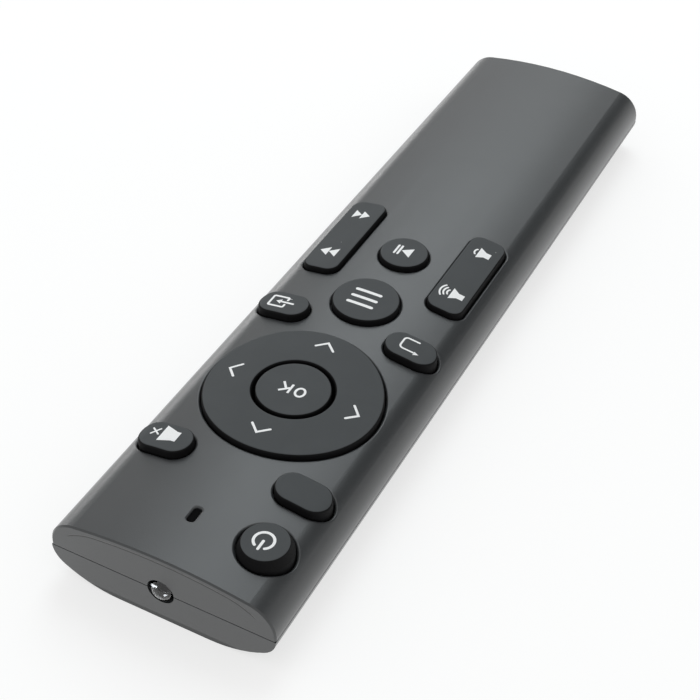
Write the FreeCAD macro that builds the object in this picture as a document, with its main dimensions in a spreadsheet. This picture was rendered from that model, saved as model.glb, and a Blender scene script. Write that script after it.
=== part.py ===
import FreeCAD, Part
import math
import os
import re

import Sketcher

Vector = FreeCAD.Vector
Rotation = FreeCAD.Rotation
Placement = FreeCAD.Placement

# Hand-held infrared remote control for a projector.
# Origin: centre of the base. +Y: the infrared front end. +X: the user's right. +Z: up.

# Every driving size, in millimetres unless the note says otherwise.
SIZES = (
    ("body_length", 180.0, "case length along Y"),
    ("body_width", 44.0, "case width along X"),
    ("body_height", 15.4, "base to the top of the crown"),
    ("wall", 1.6, "wall of both shells"),
    ("end_wall", 2.0, "thickness of the flat end walls"),
    ("parting_z", 7.15, "height of the parting line"),
    ("seam_gap", 0.18, "open seam between the shells"),
    ("crown_radius", 100.0, "radius of the crowned top"),
    ("shoulder_radius", 6.0, "radius of the top shoulders"),
    ("flat_half", 9.0, "half the width of the flat base"),
    ("belly_radius", 20.0, "radius of the lower flanks"),
    ("bilge_radius", 4.8, "radius from the flanks to the sides"),
    ("end_bevel", 0.3, "bevel of the top shell at its ends"),
    ("lip_thick", 1.0, "thickness of the aligning lips"),
    ("lip_depth", 1.0, "reach of the lips below the parting line"),
    ("lip_height", 0.65, "height of the lips above the parting line"),
    ("lip_gap", 0.2, "gap between lip and bottom shell"),
    ("lip_end", 3.0, "front end of the lips behind the end wall"),
    ("power_side", 8.1, "power key centre from the side of the case"),
    ("power_from_front", 11.0, "power key centre from the front face"),
    ("slot_from_front", 11.2, "indicator slot centre from the front face"),
    ("slot_length", 3.3, "indicator slot along Y"),
    ("slot_width", 1.5, "indicator slot along X"),
    ("slot_flat", 0.1, "half the straight end of the slot"),
    ("pair_side", 2.6, "oblong openings from the side of the case"),
    ("pair_inner", 8.35, "oblong openings from the centre line"),
    ("front_pair_from_front", 24.1, "mute and blank keys from the front face"),
    ("dpad_from_front", 45.5, "four-way ring centre from the front face"),
    ("rear_pair_from_front", 66.7, "source and back keys from the front face"),
    ("menu_from_front", 75.1, "menu key centre from the front face"),
    ("play_from_front", 92.5, "play key centre from the front face"),
    ("rocker_side", 4.0, "rocker openings from the side of the case"),
    ("rocker_inner", 9.75, "rocker openings from the centre line"),
    ("rocker_from_front", 93.3, "rocker centres from the front face"),
    ("power_hole", 5.2, "radius of the power key opening"),
    ("menu_hole", 7.0, "radius of the menu key opening"),
    ("play_hole", 5.3, "radius of the play key opening"),
    ("dpad_hole", 17.2, "radius of the ring opening"),
    ("dpad_bore", 7.8, "radius of the bore in the ring"),
    ("oblong_length", 7.2, "oblong opening along Y"),
    ("oblong_corner", 3.5, "corner radius of the oblong opening"),
    ("rocker_length", 26.4, "rocker opening along Y"),
    ("rocker_corner", 2.7, "corner radius of the rocker opening"),
    ("key_gap", 0.25, "gap between a key and its opening"),
    ("ring_gap", 0.3, "gap between the ring and its opening"),
    ("ok_gap", 0.72, "gap between the OK key and the ring"),
    ("key_rise", 1.5, "oblong key tops above the case"),
    ("low_rise", 1.1, "menu key, play key and rocker tops above the case"),
    ("ring_rise", 0.9, "ring and OK key tops above the case"),
    ("power_rise", 1.85, "power key top above the case"),
    ("power_face", 4.2, "radius of the power key where its slanted side meets the top"),
    ("key_edge", 0.4, "rounding of the key tops"),
    ("power_edge", 0.35, "rounding of the power key top"),
    ("ok_edge", 0.3, "rounding of the OK key top"),
    ("flange_lip", 0.8, "reach of a key flange past its opening"),
    ("flange_inset", 0.9, "oblong flanges end inside the cap on the outer side"),
    ("flange_gap", 0.15, "gap between a key flange and the ceiling"),
    ("float_gap", 0.25, "gap left under a flange when it is pressed"),
    ("pill_float", 0.05, "gap left under a pill when its key is pressed"),
    ("key_travel", 0.9, "key travel"),
    ("pill_thick", 0.5, "thickness of a carbon pill"),
    ("pill_inset", 0.6, "pill radius less than its plunger radius"),
    ("plunger_round", 3.4, "plunger radius of the large keys"),
    ("plunger_small", 2.6, "plunger radius of the small keys"),
    ("plunger_leg", 2.2, "plunger radius of the ring and rockers"),
    ("plunger_gap", 0.45, "gap between a plunger and the mat"),
    ("dpad_float", 0.55, "gap above and below the ring collar"),
    ("collar_thick", 0.85, "thickness of the ring collar"),
    ("collar_inner", 8.7, "inner radius of the ring collar"),
    ("collar_outer", 10.4, "outer radius of the ring collar"),
    ("dpad_leg", 13.0, "distance of the ring plungers from its centre"),
    ("ring_clear", 0.35, "gap between the ring flange and the ceiling"),
    ("tilt_clear", 0.75, "gap under the pills of the tilting keys"),
    ("ring_flange", 0.8, "thickness of the ring flange"),
    ("ok_flange", 0.4, "thickness of the OK key flange"),
    ("ok_lip", 0.35, "reach of the OK flange past the ring bore"),
    ("rocker_float", 1.35, "gap between a rocker and the mat"),
    ("rocker_leg", 9.5, "distance of the rocker plungers from its centre"),
    ("lug_half", 2.5, "half length of the rocker lugs along Y"),
    ("lug_gap", 0.35, "gap between a rocker lug and the ceiling"),
    ("board_thick", 1.2, "circuit board thickness"),
    ("board_side", 1.5, "gap between the circuit board and the side walls"),
    ("board_front", 6.0, "board front edge from the front face"),
    ("board_notch", 9.8, "notch for the infrared LED from the front face"),
    ("notch_half", 4.7, "half the width of that notch"),
    ("mat_thick", 1.0, "keypad mat thickness"),
    ("mat_margin", 0.5, "mat edge inside the board edge"),
    ("mat_notch", 15.5, "notch in the mat from the front face"),
    ("mat_notch_gap", 0.3, "notch in the mat wider than the board's, each side"),
    ("mat_from_back", 7.0, "mat rear edge from the rear edge of the board"),
    ("ridge_half", 2.5, "half the ridge under a rocker along X"),
    ("ridge_thick", 2.0, "ridge under a rocker along Y"),
    ("ridge_gap", 0.3, "gap between a rocker and its ridge"),
    ("pad_thick", 0.05, "thickness of the printed contact pads"),
    ("led_radius", 2.5, "radius of the infrared LED"),
    ("led_hole", 2.6, "radius of the hole in the front face"),
    ("led_proud", 0.9, "LED tip ahead of the front face"),
    ("led_length", 8.6, "LED length with its flange"),
    ("led_flange", 2.9, "radius of the LED flange"),
    ("led_brim", 1.0, "thickness of the LED flange"),
    ("led_fit", 0.05, "gap round the LED in its clamps"),
    ("lead_size", 0.5, "LED leads are square"),
    ("lead_pitch", 2.54, "distance between the LED leads"),
    ("lead_length", 5.2, "length of the LED leads"),
    ("clamp_half", 4.1, "half the width of the LED clamps"),
    ("clamp_from_base", 1.4, "LED clamps from the base of the LED"),
    ("clamp_depth", 2.4, "LED clamps along Y"),
    ("cell_radius", 5.25, "AAA cell radius"),
    ("cell_length", 44.5, "AAA cell length with its nub"),
    ("nub_radius", 1.9, "radius of the positive nub"),
    ("nub_length", 1.0, "length of the positive nub"),
    ("cell_gap", 0.4, "gap between the two cells"),
    ("cell_clear", 0.15, "gap between a cell and the door"),
    ("tub_clear", 0.25, "gap between a cell and the battery tub"),
    ("tub_wall", 0.9, "wall of the battery tub"),
    ("tub_rear", 3.4, "end wall to the inside of the tub"),
    ("plate_thick", 0.4, "contact plate thickness"),
    ("plate_size", 8.0, "contact plate width"),
    ("plate_height", 7.0, "contact plate height"),
    ("tab_reach", 3.5, "reach of the contact tabs over the board"),
    ("board_back", 8.6, "board rear edge from the inside of the tub"),
    ("bump_height", 0.5, "height of the contact bumps"),
    ("bump_radius", 1.5, "radius of the contact bumps"),
    ("spring_length", 4.2, "contact spring length under load"),
    ("spring_wide", 3.2, "spring radius at the plate"),
    ("spring_narrow", 2.3, "spring radius at the cell"),
    ("spring_wire", 0.6, "spring wire"),
    ("tab_width", 3.0, "width of the contact tabs"),
    ("tab_gap", 0.15, "gap round a contact tab in the tub"),
    ("door_half", 13.0, "half the door width outside"),
    ("door_dove", 0.6, "flare of the door edges"),
    ("door_thick", 1.7, "door thickness"),
    ("door_gap", 0.12, "gap round the door"),
    ("door_overrun", 8.0, "door past the tub towards the front"),
    ("door_set", 0.1, "door end inside the rear face"),
    ("ledge_thick", 1.25, "ledge over the door"),
    ("ledge_half", 15.2, "half the ledge width"),
    ("ledge_past_door", 1.4, "ledge past the front end of the door"),
    ("grip_width", 14.0, "thumb grooves along X"),
    ("grip_size", 0.9, "width of a thumb groove"),
    ("grip_depth", 0.45, "depth of a thumb groove"),
    ("grip_pitch", 1.9, "thumb groove pitch"),
    ("grip_count", 6.0, "number of thumb grooves"),
    ("grip_from_end", 5.0, "first thumb groove from the front end of the door"),
    ("screw_from_tub", 4.6, "case screw from the inside of the tub"),
    ("screw_radius", 1.0, "case screw shank radius"),
    ("screw_head", 2.0, "case screw head radius"),
    ("head_height", 1.3, "case screw head height"),
    ("screw_length", 8.5, "case screw shank length"),
    ("screw_clear", 0.1, "gap round the screw in the bottom shell"),
    ("screw_bite", 0.02, "gap round the screw in the upper boss"),
    ("screw_end", 0.6, "bore past the end of the screw"),
    ("head_clear", 0.2, "gap round the screw head"),
    ("head_sink", 0.1, "screw head above the door recess"),
    ("drive_half", 1.4, "half the length of the cross slots"),
    ("drive_width", 0.5, "width of the cross slots"),
    ("drive_depth", 0.7, "depth of the cross slots"),
    ("boss_radius", 2.8, "screw boss radius"),
    ("boss_step", 0.3, "upper boss radius less than the lower one"),
    ("boss_drop", 0.5, "top of the lower boss below the parting line"),
    ("post_radius", 1.2, "posts that hold the board"),
    ("post_start", 4.0, "first bottom post from the rear edge of the board"),
    ("post_end", 6.0, "last bottom post from the front edge of the board"),
    ("post_inset", 3.4, "bottom posts from the side of the board"),
    ("post_count", 5.0, "bottom posts on each side"),
    ("side_post_inset", 1.7, "side posts of the top shell from the side of the board"),
    ("side_post_y", 12.9, "side posts of the top shell from the ring centre"),
    ("nose_post", 22.9, "front post of the top shell from the front face"),
    ("tail_post", 12.0, "rear post of the top shell behind the play key"),
    ("chip_length", 12.8, "chip along Y"),
    ("chip_width", 7.5, "chip along X"),
    ("chip_height", 2.3, "chip height"),
    ("pin_width", 0.42, "chip pin width"),
    ("pin_pitch", 1.27, "chip pin pitch"),
    ("pin_count", 10.0, "chip pins on each side"),
    ("pin_foot", 0.9, "chip pin foot along X"),
    ("chip_standoff", 0.1, "gap between the chip and the board"),
    ("chip_y", 65.0, "chip centre from the front face"),
    ("resonator_x", 9.7, "resonator centre from the centre line"),
    ("resonator_y", 7.7, "resonator centre in front of the chip centre"),
    ("resonator_width", 3.4, "resonator along X"),
    ("resonator_length", 7.4, "resonator along Y"),
    ("resonator_height", 3.2, "resonator height"),
    ("can_x", 9.0, "capacitor from the centre line"),
    ("can_from_back", 8.0, "capacitor from the rear edge of the board"),
    ("can_radius", 2.0, "capacitor radius"),
    ("can_length", 7.0, "capacitor length"),
    ("transistor_x", 7.95, "transistor centre from the centre line"),
    ("transistor_y", 8.35, "transistor centre behind the board notch"),
    ("transistor_width", 2.9, "transistor along X"),
    ("transistor_length", 1.3, "transistor along Y"),
    ("transistor_height", 1.1, "transistor height"),
    ("resistor_width", 0.8, "chip resistor along X"),
    ("resistor_length", 1.6, "chip resistor along Y"),
    ("resistor_height", 0.5, "chip resistor height"),
    ("pipe_gap", 0.1, "gap between the light pipe and its slot"),
    ("pipe_flange", 0.8, "flange of the light pipe"),
    ("pipe_recess", 0.3, "light pipe below the crown"),
    ("lamp_height", 0.6, "indicator LED height"),
    ("lamp_width", 0.8, "indicator LED along X"),
    ("lamp_length", 1.6, "indicator LED along Y"),
    ("lamp_gap", 0.2, "gap between the indicator LED and the pipe"),
    ("rim_round", 0.4, "rounding of the openings"),
)
ALIASES = {row[0] for row in SIZES}

doc = FreeCAD.newDocument("projector_remote")
sheet = doc.addObject("Spreadsheet::Sheet", "Sizes")
for number, (alias, value, note) in enumerate(SIZES, start=1):
    sheet.set("A%d" % number, alias)
    sheet.set("B%d" % number, str(value))
    sheet.set("C%d" % number, note)
    sheet.setAlias("B%d" % number, alias)
doc.recompute()

# Lengths that several pieces share, as text for the expressions.
FRONT = "body_length / 2"
BOARD_TOP = "(parting_z - lead_size / 2)"
BOARD_LOW = "(parting_z - lead_size / 2 - board_thick)"
PAD_TOP = "(parting_z - lead_size / 2 + pad_thick)"
MAT_TOP = "(parting_z - lead_size / 2 + mat_thick)"
FLANGE_LOW = "(" + MAT_TOP + " + key_travel + float_gap)"
PILL_LOW = "(" + PAD_TOP + " + key_travel + pill_float)"
TILT_PILL_LOW = "(" + PAD_TOP + " + tilt_clear)"
COLLAR_LOW = "(" + MAT_TOP + " + dpad_float)"
RING_LOW = "(" + MAT_TOP + " + 2 * dpad_float + collar_thick)"
OK_LOW = "(" + MAT_TOP + " + key_travel + pill_float)"
ROCKER_LOW = "(" + MAT_TOP + " + rocker_float)"
CELL_X = "(cell_radius + cell_gap / 2)"
CELL_Z = "(door_thick + door_gap + cell_clear + cell_radius)"
TUB_LENGTH = "(cell_length + 2 * plate_thick + bump_height + spring_length)"
TUB_BACK = "(end_wall + tub_rear - body_length / 2)"
TUB_FRONT = "(" + TUB_BACK + " + " + TUB_LENGTH + ")"
DOOR_FRONT = "(" + TUB_FRONT + " + door_overrun)"
BOARD_BACK = "(" + TUB_FRONT + " + board_back)"
BOARD_HALF = "(body_width / 2 - wall - board_side)"
BOARD_LENGTH = "(body_length / 2 - board_front - " + BOARD_BACK + ")"
POST_X = "(" + BOARD_HALF + " - post_inset)"
POST_ROW = "(" + BOARD_LENGTH + " - post_start - post_end)"
SIDE_POST_X = "(" + BOARD_HALF + " - side_post_inset)"
POWER_X = "(body_width / 2 - power_side)"
PAIR_X = "((body_width / 2 - pair_side + pair_inner) / 2)"
PAIR_WIDTH = "(body_width / 2 - pair_side - pair_inner)"
ROCKER_X = "((body_width / 2 - rocker_side + rocker_inner) / 2)"
ROCKER_WIDTH = "(body_width / 2 - rocker_side - rocker_inner)"
LEDGE_TOP = "(door_thick + door_gap + ledge_thick)"
LED_BASE = "(body_length / 2 + led_proud - led_length)"
SCREW_Y = "(" + TUB_FRONT + " + screw_from_tub)"
SCREW_Z = "(door_thick + door_gap + head_sink)"
# Cuts run past a surface by OVERCUT, and joined shapes run into each other by ROOT.
OVERCUT = "1.0"
ROOT = "0.1"
# Openings in the crown are cut from above it, down to just over the parting line.
CUT_TOP = "(body_height + 5)"
CUT_DEEP = "(body_height - parting_z + 4)"
# The frame outside a section reaches this far past the case.
BIG = 40.0
# A drawn circle starts at this radius, before its own size takes over.
DRAWN = 3.0

parts = {}


def size(alias):
    """The value of one cell of the sheet."""
    return float(getattr(sheet, alias))


def linked(text):
    """Turn plain size names into references to the sheet."""
    def swap(match):
        word = match.group(0)
        return "Sizes." + word if word in ALIASES else word
    return re.sub(r"[a-z][a-z_]*", swap, text)


def bind(obj, **props):
    """Bind properties of an object to the sheet; two underscores stand for a dot."""
    for name, text in props.items():
        obj.setExpression(name.replace("__", "."), linked(str(text)))
    return obj


def move(obj, x="0", y="0", z="0"):
    """Bind the position of a primitive or of a body."""
    bind(obj, Placement__Base__x=x, Placement__Base__y=y, Placement__Base__z=z)
    return obj


def plane(body, role):
    """An origin plane or axis of a body."""
    for feature in body.Origin.OriginFeatures:
        if feature.Role == role:
            return feature
    raise ValueError(role)


def new_body(name):
    """A body that becomes one file, named after the piece."""
    body = doc.addObject("PartDesign::Body", name)
    body.Label = name
    parts[name] = body
    return body


def sketch_on(body, name, role, x="0", y="0", z="0"):
    """An empty sketch on an origin plane, moved in the plane by x, y and off it by z."""
    sketch = body.newObject("Sketcher::SketchObject", body.Name + "_" + name)
    sketch.AttachmentSupport = [(plane(body, role), "")]
    sketch.MapMode = "FlatFace"
    bind(sketch, AttachmentOffset__Base__x=x, AttachmentOffset__Base__y=y,
         AttachmentOffset__Base__z=z)
    return sketch


def hold(sketch, kind, *args, to):
    """Add a measured constraint and bind it to the sheet."""
    index = sketch.addConstraint(Sketcher.Constraint(kind, *args))
    sketch.setExpression("Constraints[%d]" % index, linked(to))


def tie(sketch, kind, *args):
    """Add a geometric constraint."""
    sketch.addConstraint(Sketcher.Constraint(kind, *args))


def circle(body, name, radius, x="0", y="0", z="0", role="XY_Plane"):
    """A sketch with one circle."""
    sketch = sketch_on(body, name, role, x, y, z)
    ring = sketch.addGeometry(Part.Circle(Vector(0, 0, 0), Vector(0, 0, 1), DRAWN), False)
    tie(sketch, "Coincident", ring, 3, -1, 1)
    hold(sketch, "Radius", ring, DRAWN, to=radius)
    return sketch


def rounded(body, name, width, length, corner, x="0", y="0", z="0"):
    """A sketch with a rounded rectangle about its own origin."""
    sketch = sketch_on(body, name, "XY_Plane", x, y, z)
    half, reach, bend = 6.0, 9.0, 2.0
    lines = [
        ((-half + bend, -reach), (half - bend, -reach)),
        ((half, -reach + bend), (half, reach - bend)),
        ((half - bend, reach), (-half + bend, reach)),
        ((-half, reach - bend), (-half, -reach + bend)),
    ]
    for start, end in lines:
        sketch.addGeometry(Part.LineSegment(Vector(*start, 0), Vector(*end, 0)), False)
    down, right, up, left = -math.pi / 2, 0.0, math.pi / 2, math.pi
    corners = [(half, -reach, down), (half, reach, right), (-half, reach, up),
               (-half, -reach, left)]
    arcs = []
    for cx, cy, turn in corners:
        centre = Vector(math.copysign(half - bend, cx), math.copysign(reach - bend, cy), 0)
        round_edge = Part.Circle(centre, Vector(0, 0, 1), bend)
        arc = Part.ArcOfCircle(round_edge, turn, turn + math.pi / 2)
        arcs.append(sketch.addGeometry(arc, False))
    for side, arc in enumerate(arcs):
        tie(sketch, "Tangent", side, 2, arc, 1)
        tie(sketch, "Tangent", arc, 2, (side + 1) % len(arcs), 1)
    tie(sketch, "Horizontal", 0)
    tie(sketch, "Horizontal", 2)
    tie(sketch, "Vertical", 1)
    tie(sketch, "Vertical", 3)
    for arc in arcs[1:]:
        tie(sketch, "Equal", arcs[0], arc)
    hold(sketch, "Radius", arcs[0], bend, to=corner)
    hold(sketch, "DistanceX", -1, 1, 1, 1, half, to="(%s) / 2" % width)
    hold(sketch, "DistanceX", 3, 1, -1, 1, half, to="(%s) / 2" % width)
    hold(sketch, "DistanceY", 0, 1, -1, 1, reach, to="(%s) / 2" % length)
    hold(sketch, "DistanceY", -1, 1, 2, 1, reach, to="(%s) / 2" % length)
    return sketch


def top_profile(body, name, offset, beyond=False):
    """Section of the top shell, moved outwards by offset.

    The profile is closed along the parting line, or, with beyond, it is the
    region outside the crown, which trims what stands proud of it.
    """
    sketch = sketch_on(body, name, "XZ_Plane")
    value = {"0": 0.0}.get(offset)
    if value is None:
        value = section_value(offset)
    side = size("body_width") / 2 + value
    shoulder = size("shoulder_radius") + value
    crown = size("crown_radius") + value
    shoulder_x = size("body_width") / 2 - size("shoulder_radius")
    crown_z = size("body_height") - size("crown_radius")
    reach = size("crown_radius") - size("shoulder_radius")
    shoulder_z = crown_z + math.sqrt(reach ** 2 - shoulder_x ** 2)
    lean = math.asin(shoulder_x / reach)
    base = size("parting_z") + size("seam_gap") / 2
    axis = Vector(0, 0, 1)
    sketch.addGeometry(Part.LineSegment(Vector(-side, base, 0), Vector(-side, shoulder_z, 0)), False)
    left = Part.Circle(Vector(-shoulder_x, shoulder_z, 0), axis, shoulder)
    sketch.addGeometry(Part.ArcOfCircle(left, math.pi / 2 + lean, math.pi), False)
    top = Part.Circle(Vector(0, crown_z, 0), axis, crown)
    sketch.addGeometry(Part.ArcOfCircle(top, math.pi / 2 - lean, math.pi / 2 + lean), False)
    right = Part.Circle(Vector(shoulder_x, shoulder_z, 0), axis, shoulder)
    sketch.addGeometry(Part.ArcOfCircle(right, 0, math.pi / 2 - lean), False)
    sketch.addGeometry(Part.LineSegment(Vector(side, shoulder_z, 0), Vector(side, base, 0)), False)
    tie(sketch, "Tangent", 0, 2, 1, 2)
    tie(sketch, "Tangent", 1, 1, 2, 2)
    tie(sketch, "Tangent", 2, 1, 3, 2)
    tie(sketch, "Tangent", 3, 1, 4, 1)
    tie(sketch, "Vertical", 0)
    tie(sketch, "Vertical", 4)
    tie(sketch, "PointOnObject", 2, 3, -2)
    tie(sketch, "Equal", 1, 3)
    hold(sketch, "DistanceY", 2, 3, -1, 1, -crown_z, to="crown_radius - body_height")
    hold(sketch, "Radius", 2, crown, to="crown_radius + (%s)" % offset)
    hold(sketch, "Radius", 1, shoulder, to="shoulder_radius + (%s)" % offset)
    hold(sketch, "DistanceX", 0, 1, -1, 1, side, to="body_width / 2 + (%s)" % offset)
    hold(sketch, "DistanceX", -1, 1, 4, 2, side, to="body_width / 2 + (%s)" % offset)
    hold(sketch, "DistanceY", -1, 1, 0, 1, base, to="parting_z + seam_gap / 2")
    hold(sketch, "DistanceY", -1, 1, 4, 2, base, to="parting_z + seam_gap / 2")
    if not beyond:
        sketch.addGeometry(Part.LineSegment(Vector(side, base, 0), Vector(-side, base, 0)), False)
        tie(sketch, "Coincident", 5, 1, 4, 2)
        tie(sketch, "Coincident", 5, 2, 0, 1)
        return sketch
    frame(sketch, side, base, base + BIG)
    return sketch


def frame(sketch, side, near, far):
    """Close an open profile with a wide frame from near to far, on its outer side."""
    out = side + BIG
    corners = [(side, near), (out, near), (out, far), (-out, far), (-out, near), (-side, near)]
    first = 5
    for number in range(5):
        start = Vector(*corners[number], 0)
        end = Vector(*corners[number + 1], 0)
        sketch.addGeometry(Part.LineSegment(start, end), False)
    tie(sketch, "Coincident", 4, 2, first, 1)
    for number in range(4):
        tie(sketch, "Coincident", first + number, 2, first + number + 1, 1)
    tie(sketch, "Coincident", first + 4, 2, 0, 1)
    tie(sketch, "Horizontal", first)
    tie(sketch, "Vertical", first + 1)
    tie(sketch, "Horizontal", first + 2)
    tie(sketch, "Vertical", first + 3)
    tie(sketch, "Horizontal", first + 4)
    sketch.addConstraint(Sketcher.Constraint("DistanceX", first, 1, first, 2, BIG))
    sketch.addConstraint(Sketcher.Constraint("DistanceX", first + 4, 1, first + 4, 2, BIG))
    if far > near:
        sketch.addConstraint(Sketcher.Constraint("DistanceY", first + 1, 1, first + 1, 2, BIG))
    else:
        sketch.addConstraint(Sketcher.Constraint("DistanceY", first + 1, 2, first + 1, 1, BIG))


def section_value(text):
    """Sum of a section offset such as "-wall" or "-wall - flange_gap"."""
    total = 0.0
    for sign, word in re.findall(r"([+-]?)\s*([a-z_]+)", text):
        total += -size(word) if sign == "-" else size(word)
    return total


def belly_profile(body, name, offset, beyond=False):
    """Section of the bottom shell, moved outwards by offset."""
    sketch = sketch_on(body, name, "XZ_Plane")
    value = {"0": 0.0}.get(offset)
    if value is None:
        value = section_value(offset)
    side = size("body_width") / 2 + value
    flat = size("flat_half")
    belly = size("belly_radius") + value
    bilge = size("bilge_radius") + value
    bilge_x = size("body_width") / 2 - size("bilge_radius")
    reach = size("belly_radius") - size("bilge_radius")
    drop = math.sqrt(reach ** 2 - (bilge_x - flat) ** 2)
    bilge_z = size("belly_radius") - drop
    lean = math.atan2(bilge_x - flat, drop)
    base = size("parting_z") - size("seam_gap") / 2
    axis = Vector(0, 0, 1)
    down = -math.pi / 2
    points = [Vector(-side, base, 0), Vector(-side, bilge_z, 0)]
    sketch.addGeometry(Part.LineSegment(points[0], points[1]), False)
    left = Part.Circle(Vector(-bilge_x, bilge_z, 0), axis, bilge)
    sketch.addGeometry(Part.ArcOfCircle(left, math.pi, down - lean + 2 * math.pi), False)
    flank = Part.Circle(Vector(-flat, size("belly_radius"), 0), axis, belly)
    sketch.addGeometry(Part.ArcOfCircle(flank, down - lean, down), False)
    right = Part.Circle(Vector(bilge_x, bilge_z, 0), axis, bilge)
    other = Part.Circle(Vector(flat, size("belly_radius"), 0), axis, belly)
    low = -value
    sketch.addGeometry(Part.ArcOfCircle(right, down + lean, 0), False)
    sketch.addGeometry(Part.LineSegment(Vector(side, bilge_z, 0), Vector(side, base, 0)), False)
    if beyond:
        frame(sketch, side, base, base - BIG)
    else:
        sketch.addGeometry(Part.LineSegment(Vector(side, base, 0), Vector(-side, base, 0)), False)
        tie(sketch, "Coincident", 5, 1, 4, 2)
        tie(sketch, "Coincident", 5, 2, 0, 1)
    flank_arc = sketch.addGeometry(Part.ArcOfCircle(other, down, down + lean), False)
    flat_base = Part.LineSegment(Vector(-flat, low, 0), Vector(flat, low, 0))
    flat_line = sketch.addGeometry(flat_base, False)
    tie(sketch, "Tangent", 0, 2, 1, 1)
    tie(sketch, "Tangent", 1, 2, 2, 1)
    tie(sketch, "Tangent", 2, 2, flat_line, 1)
    tie(sketch, "Tangent", flat_line, 2, flank_arc, 1)
    tie(sketch, "Tangent", flank_arc, 2, 3, 1)
    tie(sketch, "Tangent", 3, 2, 4, 1)
    tie(sketch, "Vertical", 0)
    tie(sketch, "Vertical", 4)
    tie(sketch, "Horizontal", flat_line)
    tie(sketch, "Equal", 1, 3)
    tie(sketch, "Equal", 2, flank_arc)
    hold(sketch, "Radius", 2, belly, to="belly_radius + (%s)" % offset)
    hold(sketch, "Radius", 1, bilge, to="bilge_radius + (%s)" % offset)
    hold(sketch, "DistanceY", -1, 1, 2, 3, size("belly_radius"), to="belly_radius")
    hold(sketch, "DistanceX", 2, 2, -1, 1, flat, to="flat_half")
    hold(sketch, "DistanceX", -1, 1, flank_arc, 1, flat, to="flat_half")
    hold(sketch, "DistanceX", 0, 1, -1, 1, side, to="body_width / 2 + (%s)" % offset)
    hold(sketch, "DistanceX", -1, 1, 4, 2, side, to="body_width / 2 + (%s)" % offset)
    hold(sketch, "DistanceY", -1, 1, 0, 1, base, to="parting_z - seam_gap / 2")
    hold(sketch, "DistanceY", -1, 1, 4, 2, base, to="parting_z - seam_gap / 2")
    return sketch


def feature(body, kind, sketch, name, length, both=False, reverse=False):
    """A pad or pocket of a sketch; both spreads its length to each side of the plane."""
    made = body.newObject("PartDesign::" + kind, body.Name + "_" + name)
    made.Profile = sketch
    made.SideType = "Symmetric" if both else "One side"
    made.Reversed = reverse
    bind(made, Length=length)
    return made


def primitive(body, kind, name, x, y, z, along="Z", **sizes):
    """An additive or subtractive box or cylinder of a body."""
    made = body.newObject("PartDesign::" + kind, body.Name + "_" + name)
    if along == "Y":
        made.Placement = Placement(Vector(0, 0, 0), Rotation(Vector(1, 0, 0), -90))
    bind(made, **sizes)
    move(made, x, y, z)
    return made


def add_box(body, name, left, right, back, front, low, high, kind="AdditiveBox"):
    """A box given by its six faces."""
    return primitive(body, kind, name, left, back, low,
                     Length="(%s) - (%s)" % (right, left),
                     Width="(%s) - (%s)" % (front, back),
                     Height="(%s) - (%s)" % (high, low))


def from_front(name):
    """Y of something measured from the front face."""
    return "(body_length / 2 - " + name + ")"


# Top shell.
top = new_body("top_shell")
feature(top, "Pad", top_profile(top, "section", "0"), "outer", "body_length", both=True)
feature(top, "Pocket", top_profile(top, "hollow", "-wall"), "inner",
        "body_length - 2 * end_wall", both=True)
for label, sign in (("right", ""), ("left", "-")):
    inner_face = "(body_width / 2 - wall - lip_gap)"
    if sign:
        left_face, right_face = "-" + inner_face, "lip_thick - " + inner_face
    else:
        left_face, right_face = inner_face + " - lip_thick", inner_face
    add_box(top, label + "_lip", left_face, right_face,
            TUB_FRONT, FRONT + " - end_wall - lip_end",
            "parting_z - lip_depth", "parting_z + lip_height")
    add_box(top, label + "_lip_root", left_face if not sign else "-(body_width / 2 - wall / 2)",
            "body_width / 2 - wall / 2" if not sign else right_face,
            TUB_FRONT, FRONT + " - end_wall - lip_end",
            "parting_z + seam_gap / 2", "parting_z + lip_height")
POSTS = (
    ("nose", "0", from_front("nose_post")),
    ("front_right", SIDE_POST_X, from_front("dpad_from_front") + " + side_post_y"),
    ("front_left", "-" + SIDE_POST_X, from_front("dpad_from_front") + " + side_post_y"),
    ("rear_right", SIDE_POST_X, from_front("dpad_from_front") + " - side_post_y"),
    ("rear_left", "-" + SIDE_POST_X, from_front("dpad_from_front") + " - side_post_y"),
    ("middle", "0", "(" + from_front("menu_from_front") + " - menu_hole + "
     + from_front("play_from_front") + " + play_hole) / 2"),
    ("tail", "0", from_front("play_from_front") + " - tail_post"),
)
for label, x, y in POSTS:
    primitive(top, "AdditiveCylinder", label + "_post", x, y, MAT_TOP,
              Radius="post_radius", Height="body_height")
primitive(top, "AdditiveCylinder", "boss", "0", SCREW_Y, "parting_z - boss_drop + seam_gap",
          Radius="boss_radius - boss_step", Height="body_height")
add_box(top, "clamp", "-clamp_half", "clamp_half",
        LED_BASE + " + clamp_from_base", LED_BASE + " + clamp_from_base + clamp_depth",
        "parting_z + seam_gap / 2", "parting_z + body_height")
feature(top, "Pocket", top_profile(top, "outside", "0", beyond=True), "trim",
        "2 * body_length", both=True)
primitive(top, "SubtractiveCylinder", "boss_bore", "0", SCREW_Y, "0",
          Radius="screw_radius + screw_bite",
          Height=SCREW_Z + " + head_height + screw_length + screw_end")
primitive(top, "SubtractiveCylinder", "led_hole", "0", FRONT + " - end_wall - " + OVERCUT,
          "parting_z", along="Y", Radius="led_hole", Height="2 * end_wall + " + OVERCUT)
primitive(top, "SubtractiveCylinder", "led_seat", "0", LED_BASE, "parting_z", along="Y",
          Radius="led_radius + led_fit", Height="led_length")
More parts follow.
